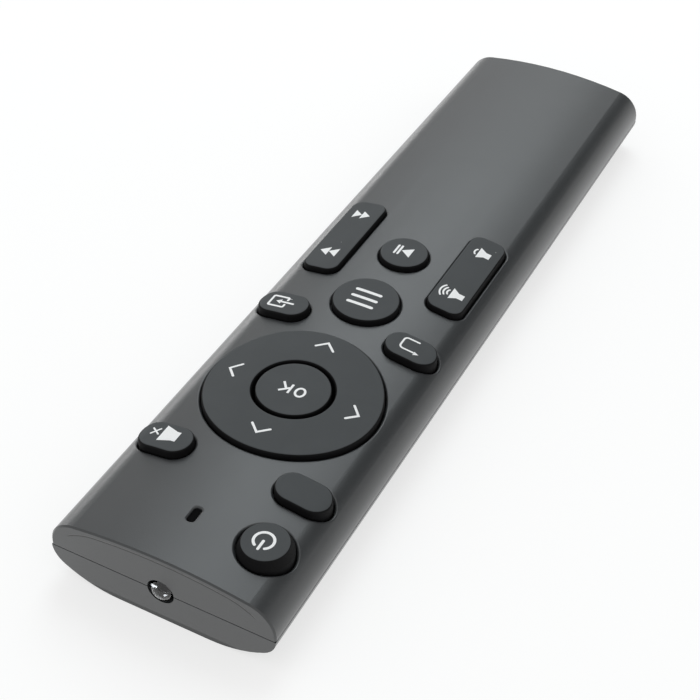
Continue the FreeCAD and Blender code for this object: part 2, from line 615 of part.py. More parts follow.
for label, x, y, hole in (
        ("power", "-" + POWER_X, "power_from_front", "power_hole"),
        ("menu", "0", "menu_from_front", "menu_hole"),
        ("play", "0", "play_from_front", "play_hole"),
        ("dpad", "0", "dpad_from_front", "dpad_hole")):
    primitive(top, "SubtractiveCylinder", label + "_opening", x, from_front(y), "parting_z + " + OVERCUT,
              Radius=hole, Height="body_height")
for label, x, y in (
        ("mute", PAIR_X, "front_pair_from_front"),
        ("blank", "-" + PAIR_X, "front_pair_from_front"),
        ("source", PAIR_X, "rear_pair_from_front"),
        ("back", "-" + PAIR_X, "rear_pair_from_front")):
    outline = rounded(top, label, PAIR_WIDTH, "oblong_length", "oblong_corner",
                      x, from_front(y), CUT_TOP)
    feature(top, "Pocket", outline, label + "_opening", CUT_DEEP)
for label, x in (("seek", ROCKER_X), ("volume", "-" + ROCKER_X)):
    outline = rounded(top, label, ROCKER_WIDTH, "rocker_length", "rocker_corner",
                      x, from_front("rocker_from_front"), CUT_TOP)
    feature(top, "Pocket", outline, label + "_opening", CUT_DEEP)
slot = rounded(top, "slot", "slot_width", "slot_length", "slot_width / 2 - slot_flat",
               "0", from_front("slot_from_front"), CUT_TOP)
feature(top, "Pocket", slot, "slot_opening", CUT_DEEP)
doc.recompute()


def skin_gap(x, z):
    """How far a point of a section lies from the outer skin of the top shell."""
    shoulder_x = size("body_width") / 2 - size("shoulder_radius")
    crown_z = size("body_height") - size("crown_radius")
    reach = size("crown_radius") - size("shoulder_radius")
    shoulder_z = crown_z + math.sqrt(reach ** 2 - shoulder_x ** 2)
    if abs(x) * reach <= (z - crown_z) * shoulder_x:
        return abs(math.hypot(x, z - crown_z) - size("crown_radius"))
    if z <= shoulder_z:
        return abs(abs(x) - size("body_width") / 2)
    return abs(math.hypot(abs(x) - shoulder_x, z - shoulder_z) - size("shoulder_radius"))


def along_edge(edge):
    """Three points of an edge: near its ends and at its middle."""
    first, last = edge.ParameterRange
    return [edge.valueAt(first + share * (last - first)) for share in (0.02, 0.5, 0.98)]


def names_of(shape, wanted):
    """Names of the edges that a test picks."""
    return ["Edge%d" % number for number, edge in enumerate(shape.Edges, start=1) if wanted(edge)]


def opening_rim(edge):
    """True for the rim of an opening in the crown."""
    points = along_edge(edge)
    if any(skin_gap(point.x, point.z) > 0.001 for point in points):
        return False
    if any(abs(point.y) > size("body_length") / 2 - 1 for point in points):
        return False
    whole = edge.BoundBox.YLength > size("rocker_length") + 5
    return not whole and not joins_smoothly(edge)


def joins_smoothly(edge):
    """True where the crown runs on into a shoulder."""
    shoulder_x = size("body_width") / 2 - size("shoulder_radius")
    scale = size("crown_radius") / (size("crown_radius") - size("shoulder_radius"))
    start, _, end = along_edge(edge)
    straight = abs(start.x - end.x) < 0.001
    on_line = abs(abs(start.x) - shoulder_x * scale) < 0.001
    on_side = abs(abs(start.x) - size("body_width") / 2) < 0.001
    return straight and (on_line or on_side)


def end_rim(edge):
    """True for the outer edge of an end face, above the parting line."""
    points = along_edge(edge)
    if any(abs(abs(point.y) - size("body_length") / 2) > 0.001 for point in points):
        return False
    return all(skin_gap(point.x, point.z) < 0.001 for point in points)


def dress(body, kind, name, wanted, amount, to):
    """Bevel or round the edges of the body's last feature that a test picks."""
    doc.recompute()
    base = body.Tip
    names = names_of(base.Shape, wanted)
    if not names:
        raise ValueError(body.Name + " has no edges for " + name)
    made = body.newObject("PartDesign::" + kind, body.Name + "_" + name)
    made.Base = (base, names)
    made.setExpression(amount, linked(to))
    doc.recompute()
    return made


dress(top, "Chamfer", "bevel", end_rim, "Size", "end_bevel")
dress(top, "Fillet", "rims", opening_rim, "Radius", "rim_round")

# Bottom shell, with the battery tub, the ledge over the door and the board posts.
bottom = new_body("bottom_shell")
feature(bottom, "Pad", belly_profile(bottom, "section", "0"), "outer", "body_length", both=True)
feature(bottom, "Pocket", belly_profile(bottom, "hollow", "-wall"), "inner",
        "body_length - 2 * end_wall", both=True)
add_box(bottom, "ledge", "-ledge_half", "ledge_half", "end_wall / 2 - body_length / 2",
        DOOR_FRONT + " + ledge_past_door", "-" + OVERCUT, LEDGE_TOP)
add_box(bottom, "tub", "-(%s + cell_radius + tub_clear + tub_wall)" % CELL_X,
        "%s + cell_radius + tub_clear + tub_wall" % CELL_X,
        TUB_BACK + " - tub_wall", TUB_FRONT + " + tub_wall", "door_thick", CELL_Z)
for label, sign in (("right", ""), ("left", "-")):
    primitive(bottom, "AdditiveCylinder", label + "_roof", sign + CELL_X,
              TUB_BACK + " - tub_wall", CELL_Z, along="Y",
              Radius="cell_radius + tub_clear + tub_wall", Height=TUB_LENGTH + " + 2 * tub_wall")
primitive(bottom, "AdditiveCylinder", "boss", "0", SCREW_Y, "-" + OVERCUT,
          Radius="boss_radius", Height="parting_z - boss_drop + " + OVERCUT)
add_box(bottom, "clamp", "-clamp_half", "clamp_half",
        LED_BASE + " + clamp_from_base", LED_BASE + " + clamp_from_base + clamp_depth",
        "-" + OVERCUT, "parting_z - seam_gap / 2")
for label, sign in (("right", ""), ("left", "-")):
    post = primitive(bottom, "AdditiveCylinder", label + "_post", sign + POST_X,
                     BOARD_BACK + " + post_start", "-" + OVERCUT, Radius="post_radius",
                     Height=BOARD_LOW + " + " + OVERCUT)
    row = bottom.newObject("PartDesign::LinearPattern", "bottom_shell_" + label + "_posts")
    row.Originals = [post]
    row.Direction = (plane(bottom, "Y_Axis"), [""])
    bind(row, Length=POST_ROW, Occurrences="post_count")
    bottom.Tip = row
feature(bottom, "Pocket", belly_profile(bottom, "outside", "0", beyond=True), "trim",
        "2 * body_length", both=True)
add_box(bottom, "cell_room", "-(%s + cell_radius + tub_clear)" % CELL_X,
        "%s + cell_radius + tub_clear" % CELL_X, TUB_BACK, TUB_FRONT, "-" + OVERCUT, CELL_Z,
        kind="SubtractiveBox")
for label, sign in (("right", ""), ("left", "-")):
    primitive(bottom, "SubtractiveCylinder", label + "_cell_room", sign + CELL_X, TUB_BACK, CELL_Z,
              along="Y", Radius="cell_radius + tub_clear", Height=TUB_LENGTH)
    add_box(bottom, label + "_tab_slot", sign + CELL_X + " - tab_width / 2 - tab_gap",
            sign + CELL_X + " + tab_width / 2 + tab_gap", TUB_FRONT + " - " + OVERCUT,
            TUB_FRONT + " + tub_wall + " + OVERCUT, BOARD_TOP + " - tab_gap",
            BOARD_TOP + " + plate_thick + tab_gap", kind="SubtractiveBox")


def dovetail(body, name, gap, deep, y):
    """Section of the door, or with a gap of its recess; deep lets it run out below."""
    sketch = sketch_on(body, name, "XZ_Plane", z="-(%s)" % y)
    half = size("door_half")
    wide = half + size("door_dove")
    tall = size("door_thick")
    points = [(-half, -deep), (half, -deep), (wide, tall), (-wide, tall)]
    for number in range(4):
        start = Vector(*points[number], 0)
        end = Vector(*points[(number + 1) % 4], 0)
        sketch.addGeometry(Part.LineSegment(start, end), False)
    for number in range(4):
        tie(sketch, "Coincident", number, 2, (number + 1) % 4, 1)
    tie(sketch, "Horizontal", 0)
    tie(sketch, "Horizontal", 2)
    # The slanted sides keep the flare that they have over the thickness of the door.
    flare = " - door_dove * %s / door_thick" % deep
    hold(sketch, "DistanceX", 0, 1, -1, 1, half, to="door_half + %s%s" % (gap, flare))
    hold(sketch, "DistanceX", -1, 1, 0, 2, half, to="door_half + %s%s" % (gap, flare))
    hold(sketch, "DistanceX", -1, 1, 1, 2, wide, to="door_half + door_dove + %s" % gap)
    hold(sketch, "DistanceX", 2, 2, -1, 1, wide, to="door_half + door_dove + %s" % gap)
    hold(sketch, "DistanceY", 0, 1, -1, 1, deep, to=str(deep))
    hold(sketch, "DistanceY", -1, 1, 1, 2, tall, to="door_thick + %s" % gap)
    return sketch


recess = dovetail(bottom, "door_recess", "door_gap", 1.0, DOOR_FRONT + " + door_gap")
feature(bottom, "Pocket", recess, "door_recess", "body_length", reverse=True)
primitive(bottom, "SubtractiveCylinder", "screw_hole", "0", SCREW_Y, "0",
          Radius="screw_radius + screw_clear", Height="body_height")
primitive(bottom, "SubtractiveCylinder", "screw_head_room", "0", SCREW_Y, "0",
          Radius="screw_head + head_clear", Height=SCREW_Z + " + head_height")
primitive(bottom, "SubtractiveCylinder", "led_hole", "0", FRONT + " - end_wall - " + OVERCUT,
          "parting_z", along="Y", Radius="led_hole", Height="2 * end_wall + " + OVERCUT)
primitive(bottom, "SubtractiveCylinder", "led_seat", "0", LED_BASE, "parting_z", along="Y",
          Radius="led_radius + led_fit", Height="led_length")

# Battery door: it slides off the back towards the rear.
door = new_body("battery_door")
feature(door, "Pad", dovetail(door, "section", "0", 1.0, DOOR_FRONT), "plate",
        "%s + body_length / 2 - door_set" % DOOR_FRONT)
feature(door, "Pocket", belly_profile(door, "outside", "0", beyond=True), "trim",
        "2 * body_length", both=True)
groove = add_box(door, "groove", "-grip_width / 2", "grip_width / 2",
                 DOOR_FRONT + " - grip_from_end - grip_size", DOOR_FRONT + " - grip_from_end",
                 "-" + OVERCUT, "grip_depth", kind="SubtractiveBox")
grip = door.newObject("PartDesign::LinearPattern", "battery_door_grip")
grip.Originals = [groove]
grip.Direction = (plane(door, "Y_Axis"), [""])
grip.Reversed = True
bind(grip, Length="grip_pitch * (grip_count - 1)", Occurrences="grip_count")
door.Tip = grip
doc.recompute()

# Circuit board.
board = new_body("circuit_board")
add_box(board, "plate", "-" + BOARD_HALF, BOARD_HALF, BOARD_BACK, from_front("board_front"),
        BOARD_LOW, BOARD_TOP)
add_box(board, "notch", "-notch_half", "notch_half", from_front("board_notch"), FRONT,
        BOARD_LOW + " - " + OVERCUT, BOARD_TOP + " + " + OVERCUT, kind="SubtractiveBox")

# Where each key presses: name, X, Y and plunger radius.
DPAD_Y = from_front("dpad_from_front")
ROCKER_Y = from_front("rocker_from_front")
PRESSES = (
    ("power", "-" + POWER_X, from_front("power_from_front"), "plunger_small"),
    ("mute", PAIR_X, from_front("front_pair_from_front"), "plunger_small"),
    ("blank", "-" + PAIR_X, from_front("front_pair_from_front"), "plunger_small"),
    ("ok", "0", DPAD_Y, "plunger_round"),
    ("up", "0", DPAD_Y + " + dpad_leg", "plunger_leg"),
    ("down", "0", DPAD_Y + " - dpad_leg", "plunger_leg"),
    ("right", "dpad_leg", DPAD_Y, "plunger_leg"),
    ("left", "-dpad_leg", DPAD_Y, "plunger_leg"),
    ("source", PAIR_X, from_front("rear_pair_from_front"), "plunger_small"),
    ("back", "-" + PAIR_X, from_front("rear_pair_from_front"), "plunger_small"),
    ("menu", "0", from_front("menu_from_front"), "plunger_round"),
    ("play", "0", from_front("play_from_front"), "plunger_small"),
    ("forward", ROCKER_X, ROCKER_Y + " + rocker_leg", "plunger_leg"),
    ("rewind", ROCKER_X, ROCKER_Y + " - rocker_leg", "plunger_leg"),
    ("louder", "-" + ROCKER_X, ROCKER_Y + " + rocker_leg", "plunger_leg"),
    ("quieter", "-" + ROCKER_X, ROCKER_Y + " - rocker_leg", "plunger_leg"),
)


def cylinder(name, x, y, z, radius, height):
    """A plain upright cylinder."""
    made = doc.addObject("Part::Cylinder", name)
    bind(made, Radius=radius, Height=height)
    return move(made, x, y, z)


def block(name, left, right, back, front, low, high):
    """A plain box given by its six faces."""
    made = doc.addObject("Part::Box", name)
    bind(made, Length="(%s) - (%s)" % (right, left), Width="(%s) - (%s)" % (front, back),
         Height="(%s) - (%s)" % (high, low))
    return move(made, left, back, low)


def group(name, members):
    """Equal small pieces that make one part."""
    made = doc.addObject("Part::Compound", name)
    made.Label = name
    made.Links = members
    parts[name] = made
    return made


def single(name, made):
    """A primitive that is a part by itself."""
    made.Label = name
    parts[name] = made
    return made


group("contact_pads", [
    cylinder(name + "_contact", x, y, BOARD_TOP, radius, "pad_thick")
    for name, x, y, radius in PRESSES])

# Silicone keypad mat, with a hole round every plunger and a ridge under each rocker.
mat = new_body("keypad_mat")
add_box(mat, "sheet", "mat_margin - " + BOARD_HALF, BOARD_HALF + " - mat_margin",
        BOARD_BACK + " + mat_from_back", from_front("board_front") + " - mat_margin", BOARD_TOP, MAT_TOP)
add_box(mat, "notch", "-notch_half - mat_notch_gap", "notch_half + mat_notch_gap",
        from_front("mat_notch"), FRONT, BOARD_TOP + " - " + OVERCUT, MAT_TOP + " + " + OVERCUT,
        kind="SubtractiveBox")
for name, x, y, radius in PRESSES:
    primitive(mat, "SubtractiveCylinder", name + "_hole", x, y, BOARD_TOP + " - " + OVERCUT,
              Radius=radius + " + plunger_gap", Height="mat_thick + 2 * " + OVERCUT)
for label, sign in (("seek", ""), ("volume", "-")):
    add_box(mat, label + "_ridge", sign + ROCKER_X + " - ridge_half",
            sign + ROCKER_X + " + ridge_half", ROCKER_Y + " - ridge_thick / 2",
            ROCKER_Y + " + ridge_thick / 2", MAT_TOP + " - " + ROOT, ROCKER_LOW + " - ridge_gap")

# Keys. Their tops follow the crown, and their flanges stay under the ceiling of the top shell.
CEILING = "-wall - flange_gap"


def above(body, name, offset):
    """Trim away what stands outside the crown moved outwards by offset."""
    profile = top_profile(body, name, offset, beyond=True)
    return feature(body, "Pocket", profile, name + "_trim", "2 * body_length", both=True)


def top_edge(rise):
    """Test for the edges round the top of a key that follows the crown."""
    def wanted(edge):
        points = along_edge(edge)
        if any(abs(point_rise(point) - rise) > 0.002 for point in points):
            return False
        return not joins_smoothly(edge)
    return wanted


def point_rise(point):
    """Height of a point above the outer skin of the top shell, square to the skin."""
    shoulder_x = size("body_width") / 2 - size("shoulder_radius")
    crown_z = size("body_height") - size("crown_radius")
    reach = size("crown_radius") - size("shoulder_radius")
    shoulder_z = crown_z + math.sqrt(reach ** 2 - shoulder_x ** 2)
    if abs(point.x) * reach <= (point.z - crown_z) * shoulder_x:
        return math.hypot(point.x, point.z - crown_z) - size("crown_radius")
    return math.hypot(abs(point.x) - shoulder_x, point.z - shoulder_z) - size("shoulder_radius")


def plunger(body, name, x, y, radius, pill_low, low):
    """The foot of a key, down to its carbon pill."""
    return primitive(body, "AdditiveCylinder", name, x, y, pill_low + " + pill_thick",
                     Radius=radius, Height="(%s + %s) - (%s + pill_thick)" % (low, ROOT, pill_low))


def pill(name, x, y, radius, pill_low):
    """A carbon pill under a plunger."""
    return cylinder(name, x, y, pill_low, radius + " - pill_inset", "pill_thick")


def oblong_key(name, side, y):
    """One of the four oblong keys; side is -1 on the left and 1 on the right."""
    sign = "-" if side < 0 else ""
    key = new_body(name + "_key")
    flange = rounded(key, "flange", PAIR_WIDTH + " + flange_lip - key_gap - flange_inset",
                     "oblong_length + 2 * flange_lip", "oblong_corner",
                     sign + "(%s - (flange_lip + key_gap + flange_inset) / 2)" % PAIR_X, y,
                     FLANGE_LOW)
    feature(key, "Pad", flange, "flange", "body_height")
    above(key, "ceiling", CEILING)
    cap = rounded(key, "cap", PAIR_WIDTH + " - 2 * key_gap", "oblong_length - 2 * key_gap",
                  "oblong_corner - key_gap", sign + PAIR_X, y, FLANGE_LOW)
    feature(key, "Pad", cap, "cap", "body_height")
    above(key, "crown", "key_rise")
    dress(key, "Fillet", "edge", top_edge(size("key_rise")), "Radius", "key_edge")
    plunger(key, "plunger", sign + PAIR_X, y, "plunger_small", PILL_LOW, FLANGE_LOW)
    single(name + "_pill", pill(name + "_pill", sign + PAIR_X, y, "plunger_small", PILL_LOW))
    return key


oblong_key("mute", 1, from_front("front_pair_from_front"))
oblong_key("blank", -1, from_front("front_pair_from_front"))
oblong_key("source", 1, from_front("rear_pair_from_front"))
oblong_key("back", -1, from_front("rear_pair_from_front"))


def round_key(name, y, hole, foot):
    """A round key on the centre line."""
    key = new_body(name + "_key")
    primitive(key, "AdditiveCylinder", "flange", "0", y, FLANGE_LOW,
              Radius=hole + " + flange_lip", Height="body_height")
    above(key, "ceiling", CEILING)
    primitive(key, "AdditiveCylinder", "cap", "0", y, FLANGE_LOW,
              Radius=hole + " - key_gap", Height="body_height")
    above(key, "crown", "low_rise")
    dress(key, "Fillet", "edge", top_edge(size("low_rise")), "Radius", "key_edge")
    plunger(key, "plunger", "0", y, foot, PILL_LOW, FLANGE_LOW)
    single(name + "_pill", pill(name + "_pill", "0", y, foot, PILL_LOW))
    return key


round_key("menu", from_front("menu_from_front"), "menu_hole", "plunger_round")
round_key("play", from_front("play_from_front"), "play_hole", "plunger_small")

# The power key stands taller than the rest. Its side slants in to a flat top.
POWER_Y = from_front("power_from_front")
POWER_TOP = ("(body_height - crown_radius + sqrt(crown_radius * crown_radius"
             " - %s * %s) + power_rise)" % (POWER_X, POWER_X))
power = new_body("power_key")
primitive(power, "AdditiveCylinder", "flange", "-" + POWER_X, POWER_Y, FLANGE_LOW,
          Radius="power_hole + flange_lip", Height="body_height")
above(power, "ceiling", CEILING)
primitive(power, "AdditiveCylinder", "cap", "-" + POWER_X, POWER_Y, FLANGE_LOW,
          Radius="power_hole - key_gap", Height="%s - power_rise - %s" % (POWER_TOP, FLANGE_LOW))
primitive(power, "AdditiveCone", "slant", "-" + POWER_X, POWER_Y, POWER_TOP + " - power_rise",
          Radius1="power_hole - key_gap", Radius2="power_face", Height="power_rise")
doc.recompute()
POWER_Z = power.Shape.BoundBox.ZMax


def power_rim(edge):
    """True for the rim of the power key's flat top."""
    return all(abs(point.z - POWER_Z) < 0.001 for point in along_edge(edge))


dress(power, "Fillet", "edge", power_rim, "Radius", "power_edge")
plunger(power, "plunger", "-" + POWER_X, POWER_Y, "plunger_small", PILL_LOW, FLANGE_LOW)
single("power_pill", pill("power_pill", "-" + POWER_X, POWER_Y, "plunger_small", PILL_LOW))


def washer(body, name, outer, inner, y, z):
    """A sketch with two circles about the centre line."""
    sketch = circle(body, name, outer, "0", y, z)
    small = Part.Circle(Vector(0, 0, 0), Vector(0, 0, 1), DRAWN / 3)
    bore = sketch.addGeometry(small, False)
    tie(sketch, "Coincident", bore, 3, -1, 1)
    hold(sketch, "Radius", bore, DRAWN / 3, to=inner)
    return sketch


# Four-way ring and the silicone collar that it tilts on.
collar = new_body("ring_collar")
feature(collar, "Pad", washer(collar, "section", "collar_outer", "collar_inner", DPAD_Y, COLLAR_LOW),
        "body", "collar_thick")
ring = new_body("direction_ring")
feature(ring, "Pad", washer(ring, "flange", "dpad_hole + flange_lip", "dpad_bore", DPAD_Y, RING_LOW),
        "flange", "ring_flange")
above(ring, "ceiling", "-wall - ring_clear")
feature(ring, "Pad", washer(ring, "cap", "dpad_hole - ring_gap", "dpad_bore", DPAD_Y, RING_LOW),
        "cap", "body_height")
above(ring, "crown", "ring_rise")
dress(ring, "Fillet", "edge", top_edge(size("ring_rise")), "Radius", "key_edge")
RING_PILLS = []
for name, x, y, radius in PRESSES[4:8]:
    plunger(ring, name + "_leg", x, y, radius, TILT_PILL_LOW, RING_LOW)
    RING_PILLS.append(pill(name + "_pill", x, y, radius, TILT_PILL_LOW))
group("ring_pills", RING_PILLS)

# OK key inside the ring.
ok = new_body("ok_key")
primitive(ok, "AdditiveCylinder", "flange", "0", DPAD_Y, OK_LOW,
          Radius="dpad_bore + ok_lip", Height="ok_flange")
primitive(ok, "AdditiveCylinder", "cap", "0", DPAD_Y, OK_LOW,
          Radius="dpad_bore - ok_gap", Height="body_height")
above(ok, "crown", "ring_rise")
dress(ok, "Fillet", "edge", top_edge(size("ring_rise")), "Radius", "ok_edge")
plunger(ok, "plunger", "0", DPAD_Y, "plunger_round", PILL_LOW, OK_LOW)
single("ok_pill", pill("ok_pill", "0", DPAD_Y, "plunger_round", PILL_LOW))


def rocker(name, side, ends):
    """A rocker: it tips about its middle, held there by two lugs under the ceiling."""
    sign = "-" if side < 0 else ""
    made = new_body(name + "_rocker")
    add_box(made, "lugs", "%s%s - %s / 2 - flange_lip" % (sign, ROCKER_X, ROCKER_WIDTH),
            "%s%s + %s / 2 + flange_lip" % (sign, ROCKER_X, ROCKER_WIDTH),
            ROCKER_Y + " - lug_half", ROCKER_Y + " + lug_half", ROCKER_LOW, "2 * body_height")
    above(made, "ceiling", "-wall - lug_gap")
    cap = rounded(made, "cap", ROCKER_WIDTH + " - 2 * key_gap", "rocker_length - 2 * key_gap",
                  "rocker_corner - key_gap", sign + ROCKER_X, ROCKER_Y, ROCKER_LOW)
    feature(made, "Pad", cap, "cap", "body_height")
    above(made, "crown", "low_rise")
    dress(made, "Fillet", "edge", top_edge(size("low_rise")), "Radius", "key_edge")
    pills = []
    for end, place in zip(ends, (" + rocker_leg", " - rocker_leg")):
        plunger(made, end + "_leg", sign + ROCKER_X, ROCKER_Y + place, "plunger_leg",
                TILT_PILL_LOW, ROCKER_LOW)
        pills.append(pill(end + "_pill", sign + ROCKER_X, ROCKER_Y + place, "plunger_leg",
                          TILT_PILL_LOW))
    group(name + "_pills", pills)
    return made


rocker("seek", 1, ("forward", "rewind"))
rocker("volume", -1, ("louder", "quieter"))

# Infrared LED: it is turned about its own Z, which points to the front.
led = new_body("infrared_led")
primitive(led, "AdditiveCylinder", "flange", "0", "0", "0", Radius="led_flange",
          Height="led_brim")
primitive(led, "AdditiveCylinder", "body", "0", "0", "0", Radius="led_radius",
          Height="led_length - led_radius")
primitive(led, "AdditiveSphere", "dome", "0", "0", "led_length - led_radius",
          Radius="led_radius")
led.Placement = Placement(Vector(0, 0, 0), Rotation(Vector(1, 0, 0), -90))
move(led, "0", LED_BASE, "parting_z")
group("led_leads", [
    block(label + "_lead", sign + "lead_pitch / 2 - lead_size / 2",
          sign + "lead_pitch / 2 + lead_size / 2", LED_BASE + " - lead_length", LED_BASE,
          "parting_z - lead_size / 2", "parting_z + lead_size / 2")
    for label, sign in (("right", ""), ("left", "-"))])

# Indicator: a small LED on the board and a dark light pipe up to its slot.
SLOT_Y = from_front("slot_from_front")
single("indicator_led", block("indicator_led", "-lamp_width / 2", "lamp_width / 2",
                              SLOT_Y + " - lamp_length / 2", SLOT_Y + " + lamp_length / 2",
                              BOARD_TOP, BOARD_TOP + " + lamp_height"))
pipe = new_body("light_pipe")
PIPE_LOW = BOARD_TOP + " + lamp_height + lamp_gap"
rod = rounded(pipe, "rod", "slot_width - 2 * pipe_gap", "slot_length - 2 * pipe_gap",
              "slot_width / 2 - pipe_gap - slot_flat", "0", SLOT_Y, PIPE_LOW)
feature(pipe, "Pad", rod, "rod", "body_height - pipe_recess - (%s)" % PIPE_LOW)
brim = rounded(pipe, "brim", "slot_width + 2 * pipe_flange", "slot_length + 2 * pipe_flange",
               "slot_width / 2 + pipe_flange - slot_flat", "0", SLOT_Y,
               "body_height - wall - flange_gap - pipe_flange")
feature(pipe, "Pad", brim, "brim", "pipe_flange")

# Two AAA cells, each turned about its own Z, which points to its positive end.
CELL_FRONT = TUB_FRONT + " - plate_thick"
CELL_REAR = TUB_BACK + " + plate_thick"
for name, x, y, turn in (
        ("battery_right", CELL_X, CELL_FRONT + " - bump_height - cell_length", -90),
        ("battery_left", "-" + CELL_X, CELL_REAR + " + bump_height + cell_length", 90)):
    cell = new_body(name)
    primitive(cell, "AdditiveCylinder", "can", "0", "0", "0", Radius="cell_radius",
              Height="cell_length - nub_length")
    doc.recompute()

    def can_rim(edge):
        """True for both rims of the can."""
        return isinstance(edge.Curve, Part.Circle)

    dress(cell, "Fillet", "rims", can_rim, "Radius", "nub_length / 2")
    primitive(cell, "AdditiveCylinder", "nub", "0", "0", "0", Radius="nub_radius",
              Height="cell_length")
    cell.Placement = Placement(Vector(0, 0, 0), Rotation(Vector(1, 0, 0), turn))
    move(cell, x, y, CELL_Z)

# Contacts: a plate with a tab at each front end, and a link plate across the rear.
plus = new_body("positive_contact")
minus = new_body("negative_contact")
for made, sign in ((plus, ""), (minus, "-")):
    add_box(made, "plate", sign + CELL_X + " - plate_size / 2", sign + CELL_X + " + plate_size / 2",
            TUB_FRONT + " - plate_thick", TUB_FRONT, CELL_Z + " - plate_height / 2",
            CELL_Z + " + plate_height / 2")
    add_box(made, "tab", sign + CELL_X + " - tab_width / 2", sign + CELL_X + " + tab_width / 2",
            TUB_FRONT + " - plate_thick", BOARD_BACK + " + tab_reach", BOARD_TOP,
            BOARD_TOP + " + plate_thick")
primitive(plus, "AdditiveCylinder", "bump", CELL_X, TUB_FRONT + " - plate_thick - bump_height",
          CELL_Z, along="Y", Radius="bump_radius", Height="bump_height + plate_thick / 2")
link = new_body("link_contact")
for label, sign in (("right", ""), ("left", "-")):
    add_box(link, label + "_plate", sign + CELL_X + " - plate_size / 2",
            sign + CELL_X + " + plate_size / 2", TUB_BACK, TUB_BACK + " + plate_thick",
            CELL_Z + " - plate_height / 2", CELL_Z + " + plate_height / 2")
    if not sign:
        add_box(link, "bridge", "-" + CELL_X, CELL_X, TUB_BACK, TUB_BACK + " + plate_thick",
                CELL_Z + " - plate_height / 2", CELL_Z)
primitive(link, "AdditiveCylinder", "bump", "-" + CELL_X, TUB_BACK + " + plate_thick / 2",
          CELL_Z, along="Y", Radius="bump_radius", Height="bump_height + plate_thick / 2")


def spring(name, x, y, wide, narrow):
    """A cone-shaped contact spring, as a plain sleeve of its outer shape."""
    made = new_body(name)
    primitive(made, "AdditiveCone", "outside", x, y, CELL_Z, along="Y", Radius1=wide,
              Radius2=narrow, Height="spring_length")
    primitive(made, "SubtractiveCone", "inside", x, y, CELL_Z, along="Y",
              Radius1=wide + " - spring_wire", Radius2=narrow + " - spring_wire",
              Height="spring_length")
    return made


spring("front_spring", "-" + CELL_X, CELL_FRONT + " - spring_length", "spring_narrow", "spring_wide")
spring("rear_spring", CELL_X, CELL_REAR, "spring_wide", "spring_narrow")

# Case screw, under the battery door.
screw = new_body("case_screw")
primitive(screw, "AdditiveCylinder", "head", "0", SCREW_Y, SCREW_Z, Radius="screw_head",
          Height="head_height")
primitive(screw, "AdditiveCylinder", "shank", "0", SCREW_Y, SCREW_Z, Radius="screw_radius",
          Height="head_height + screw_length")
for label, across, along in (("across", "drive_half", "drive_width / 2"),
                             ("along", "drive_width / 2", "drive_half")):
    add_box(screw, "slot_" + label, "-" + across, across, SCREW_Y + " - " + along,
            SCREW_Y + " + " + along, SCREW_Z + " - " + OVERCUT, SCREW_Z + " + drive_depth",
            kind="SubtractiveBox")

# Components under the board.
CHIP_Y = from_front("chip_y")
chip = block("remote_chip", "-chip_width / 2", "chip_width / 2", CHIP_Y + " - chip_length / 2",
             CHIP_Y + " + chip_length / 2", BOARD_LOW + " - chip_standoff - chip_height",
             BOARD_LOW + " - chip_standoff")
single("remote_chip", chip)
pins = new_body("chip_pins")
pins.AllowCompound = True
made_pins = []
for label, sign in (("right", 1), ("left", -1)):
    near = "chip_width / 2" if sign > 0 else "-chip_width / 2 - pin_foot"
    far = "chip_width / 2 + pin_foot" if sign > 0 else "-chip_width / 2"
    first = CHIP_Y + " - pin_pitch * (pin_count - 1) / 2"
    made_pins.append(add_box(pins, label + "_pin", near, far, first + " - pin_width / 2",
                             first + " + pin_width / 2", BOARD_LOW + " - chip_height / 2",
                             BOARD_LOW))
pin_row = pins.newObject("PartDesign::LinearPattern", "chip_pins_row")
pin_row.Originals = made_pins
pin_row.Direction = (plane(pins, "Y_Axis"), [""])
bind(pin_row, Length="pin_pitch * (pin_count - 1)", Occurrences="pin_count")
pins.Tip = pin_row



def under_board(name, x, y, kind):
    """A block soldered under the board, centred at x, y, with the sizes of its kind."""
    return block(name, "%s - %s_width / 2" % (x, kind), "%s + %s_width / 2" % (x, kind),
                 "%s - %s_length / 2" % (y, kind), "%s + %s_length / 2" % (y, kind),
                 "%s - %s_height" % (BOARD_LOW, kind), BOARD_LOW)


single("resonator", under_board("resonator", "resonator_x", CHIP_Y + " + resonator_y", "resonator"))
capacitor = new_body("capacitor")
primitive(capacitor, "AdditiveCylinder", "can", "-can_x", BOARD_BACK + " + can_from_back",
          BOARD_LOW + " - can_radius", along="Y", Radius="can_radius", Height="can_length")
single("transistor", under_board("transistor", "transistor_x",
                                 from_front("board_notch") + " - transistor_y", "transistor"))
# Places of the chip resistors from the chip centre, along X and Y.
RESISTOR_PLACES = ((-8, 2), (-8, -3), (-10, 2), (-10, -3), (7, -6))
group("resistors", [
    under_board("resistor_%d" % number, str(x), "%s + %s" % (CHIP_Y, y), "resistor")
    for number, (x, y) in enumerate(RESISTOR_PLACES, start=1)])

doc.recompute()
for made in doc.Objects:
    if "Invalid" in made.State or "Error" in made.State:
        raise RuntimeError("not built: " + made.Name)
for name, made in parts.items():
    shape = made.Shape
    if shape.isNull() or not shape.isValid() or not shape.Solids:
        raise RuntimeError("not a valid solid: " + name)
os.makedirs("parts", exist_ok=True)
for name, made in parts.items():
    made.Shape.exportStep(os.path.join("parts", name + ".step"))
    print("%-18s %2d solid(s) %9.1f mm3" % (name, len(made.Shape.Solids), made.Shape.Volume))
print("parts:", len(parts))
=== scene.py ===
"""Hand-held infrared remote control for a projector: its finishes, printed marks, springs and stage."""
import math

import bmesh
import bpy
from bpy.props import FloatProperty, FloatVectorProperty, IntProperty, PointerProperty
from bpy.types import Operator, Panel, PropertyGroup
from mathutils import Matrix, Vector
from mathutils.bvhtree import BVHTree


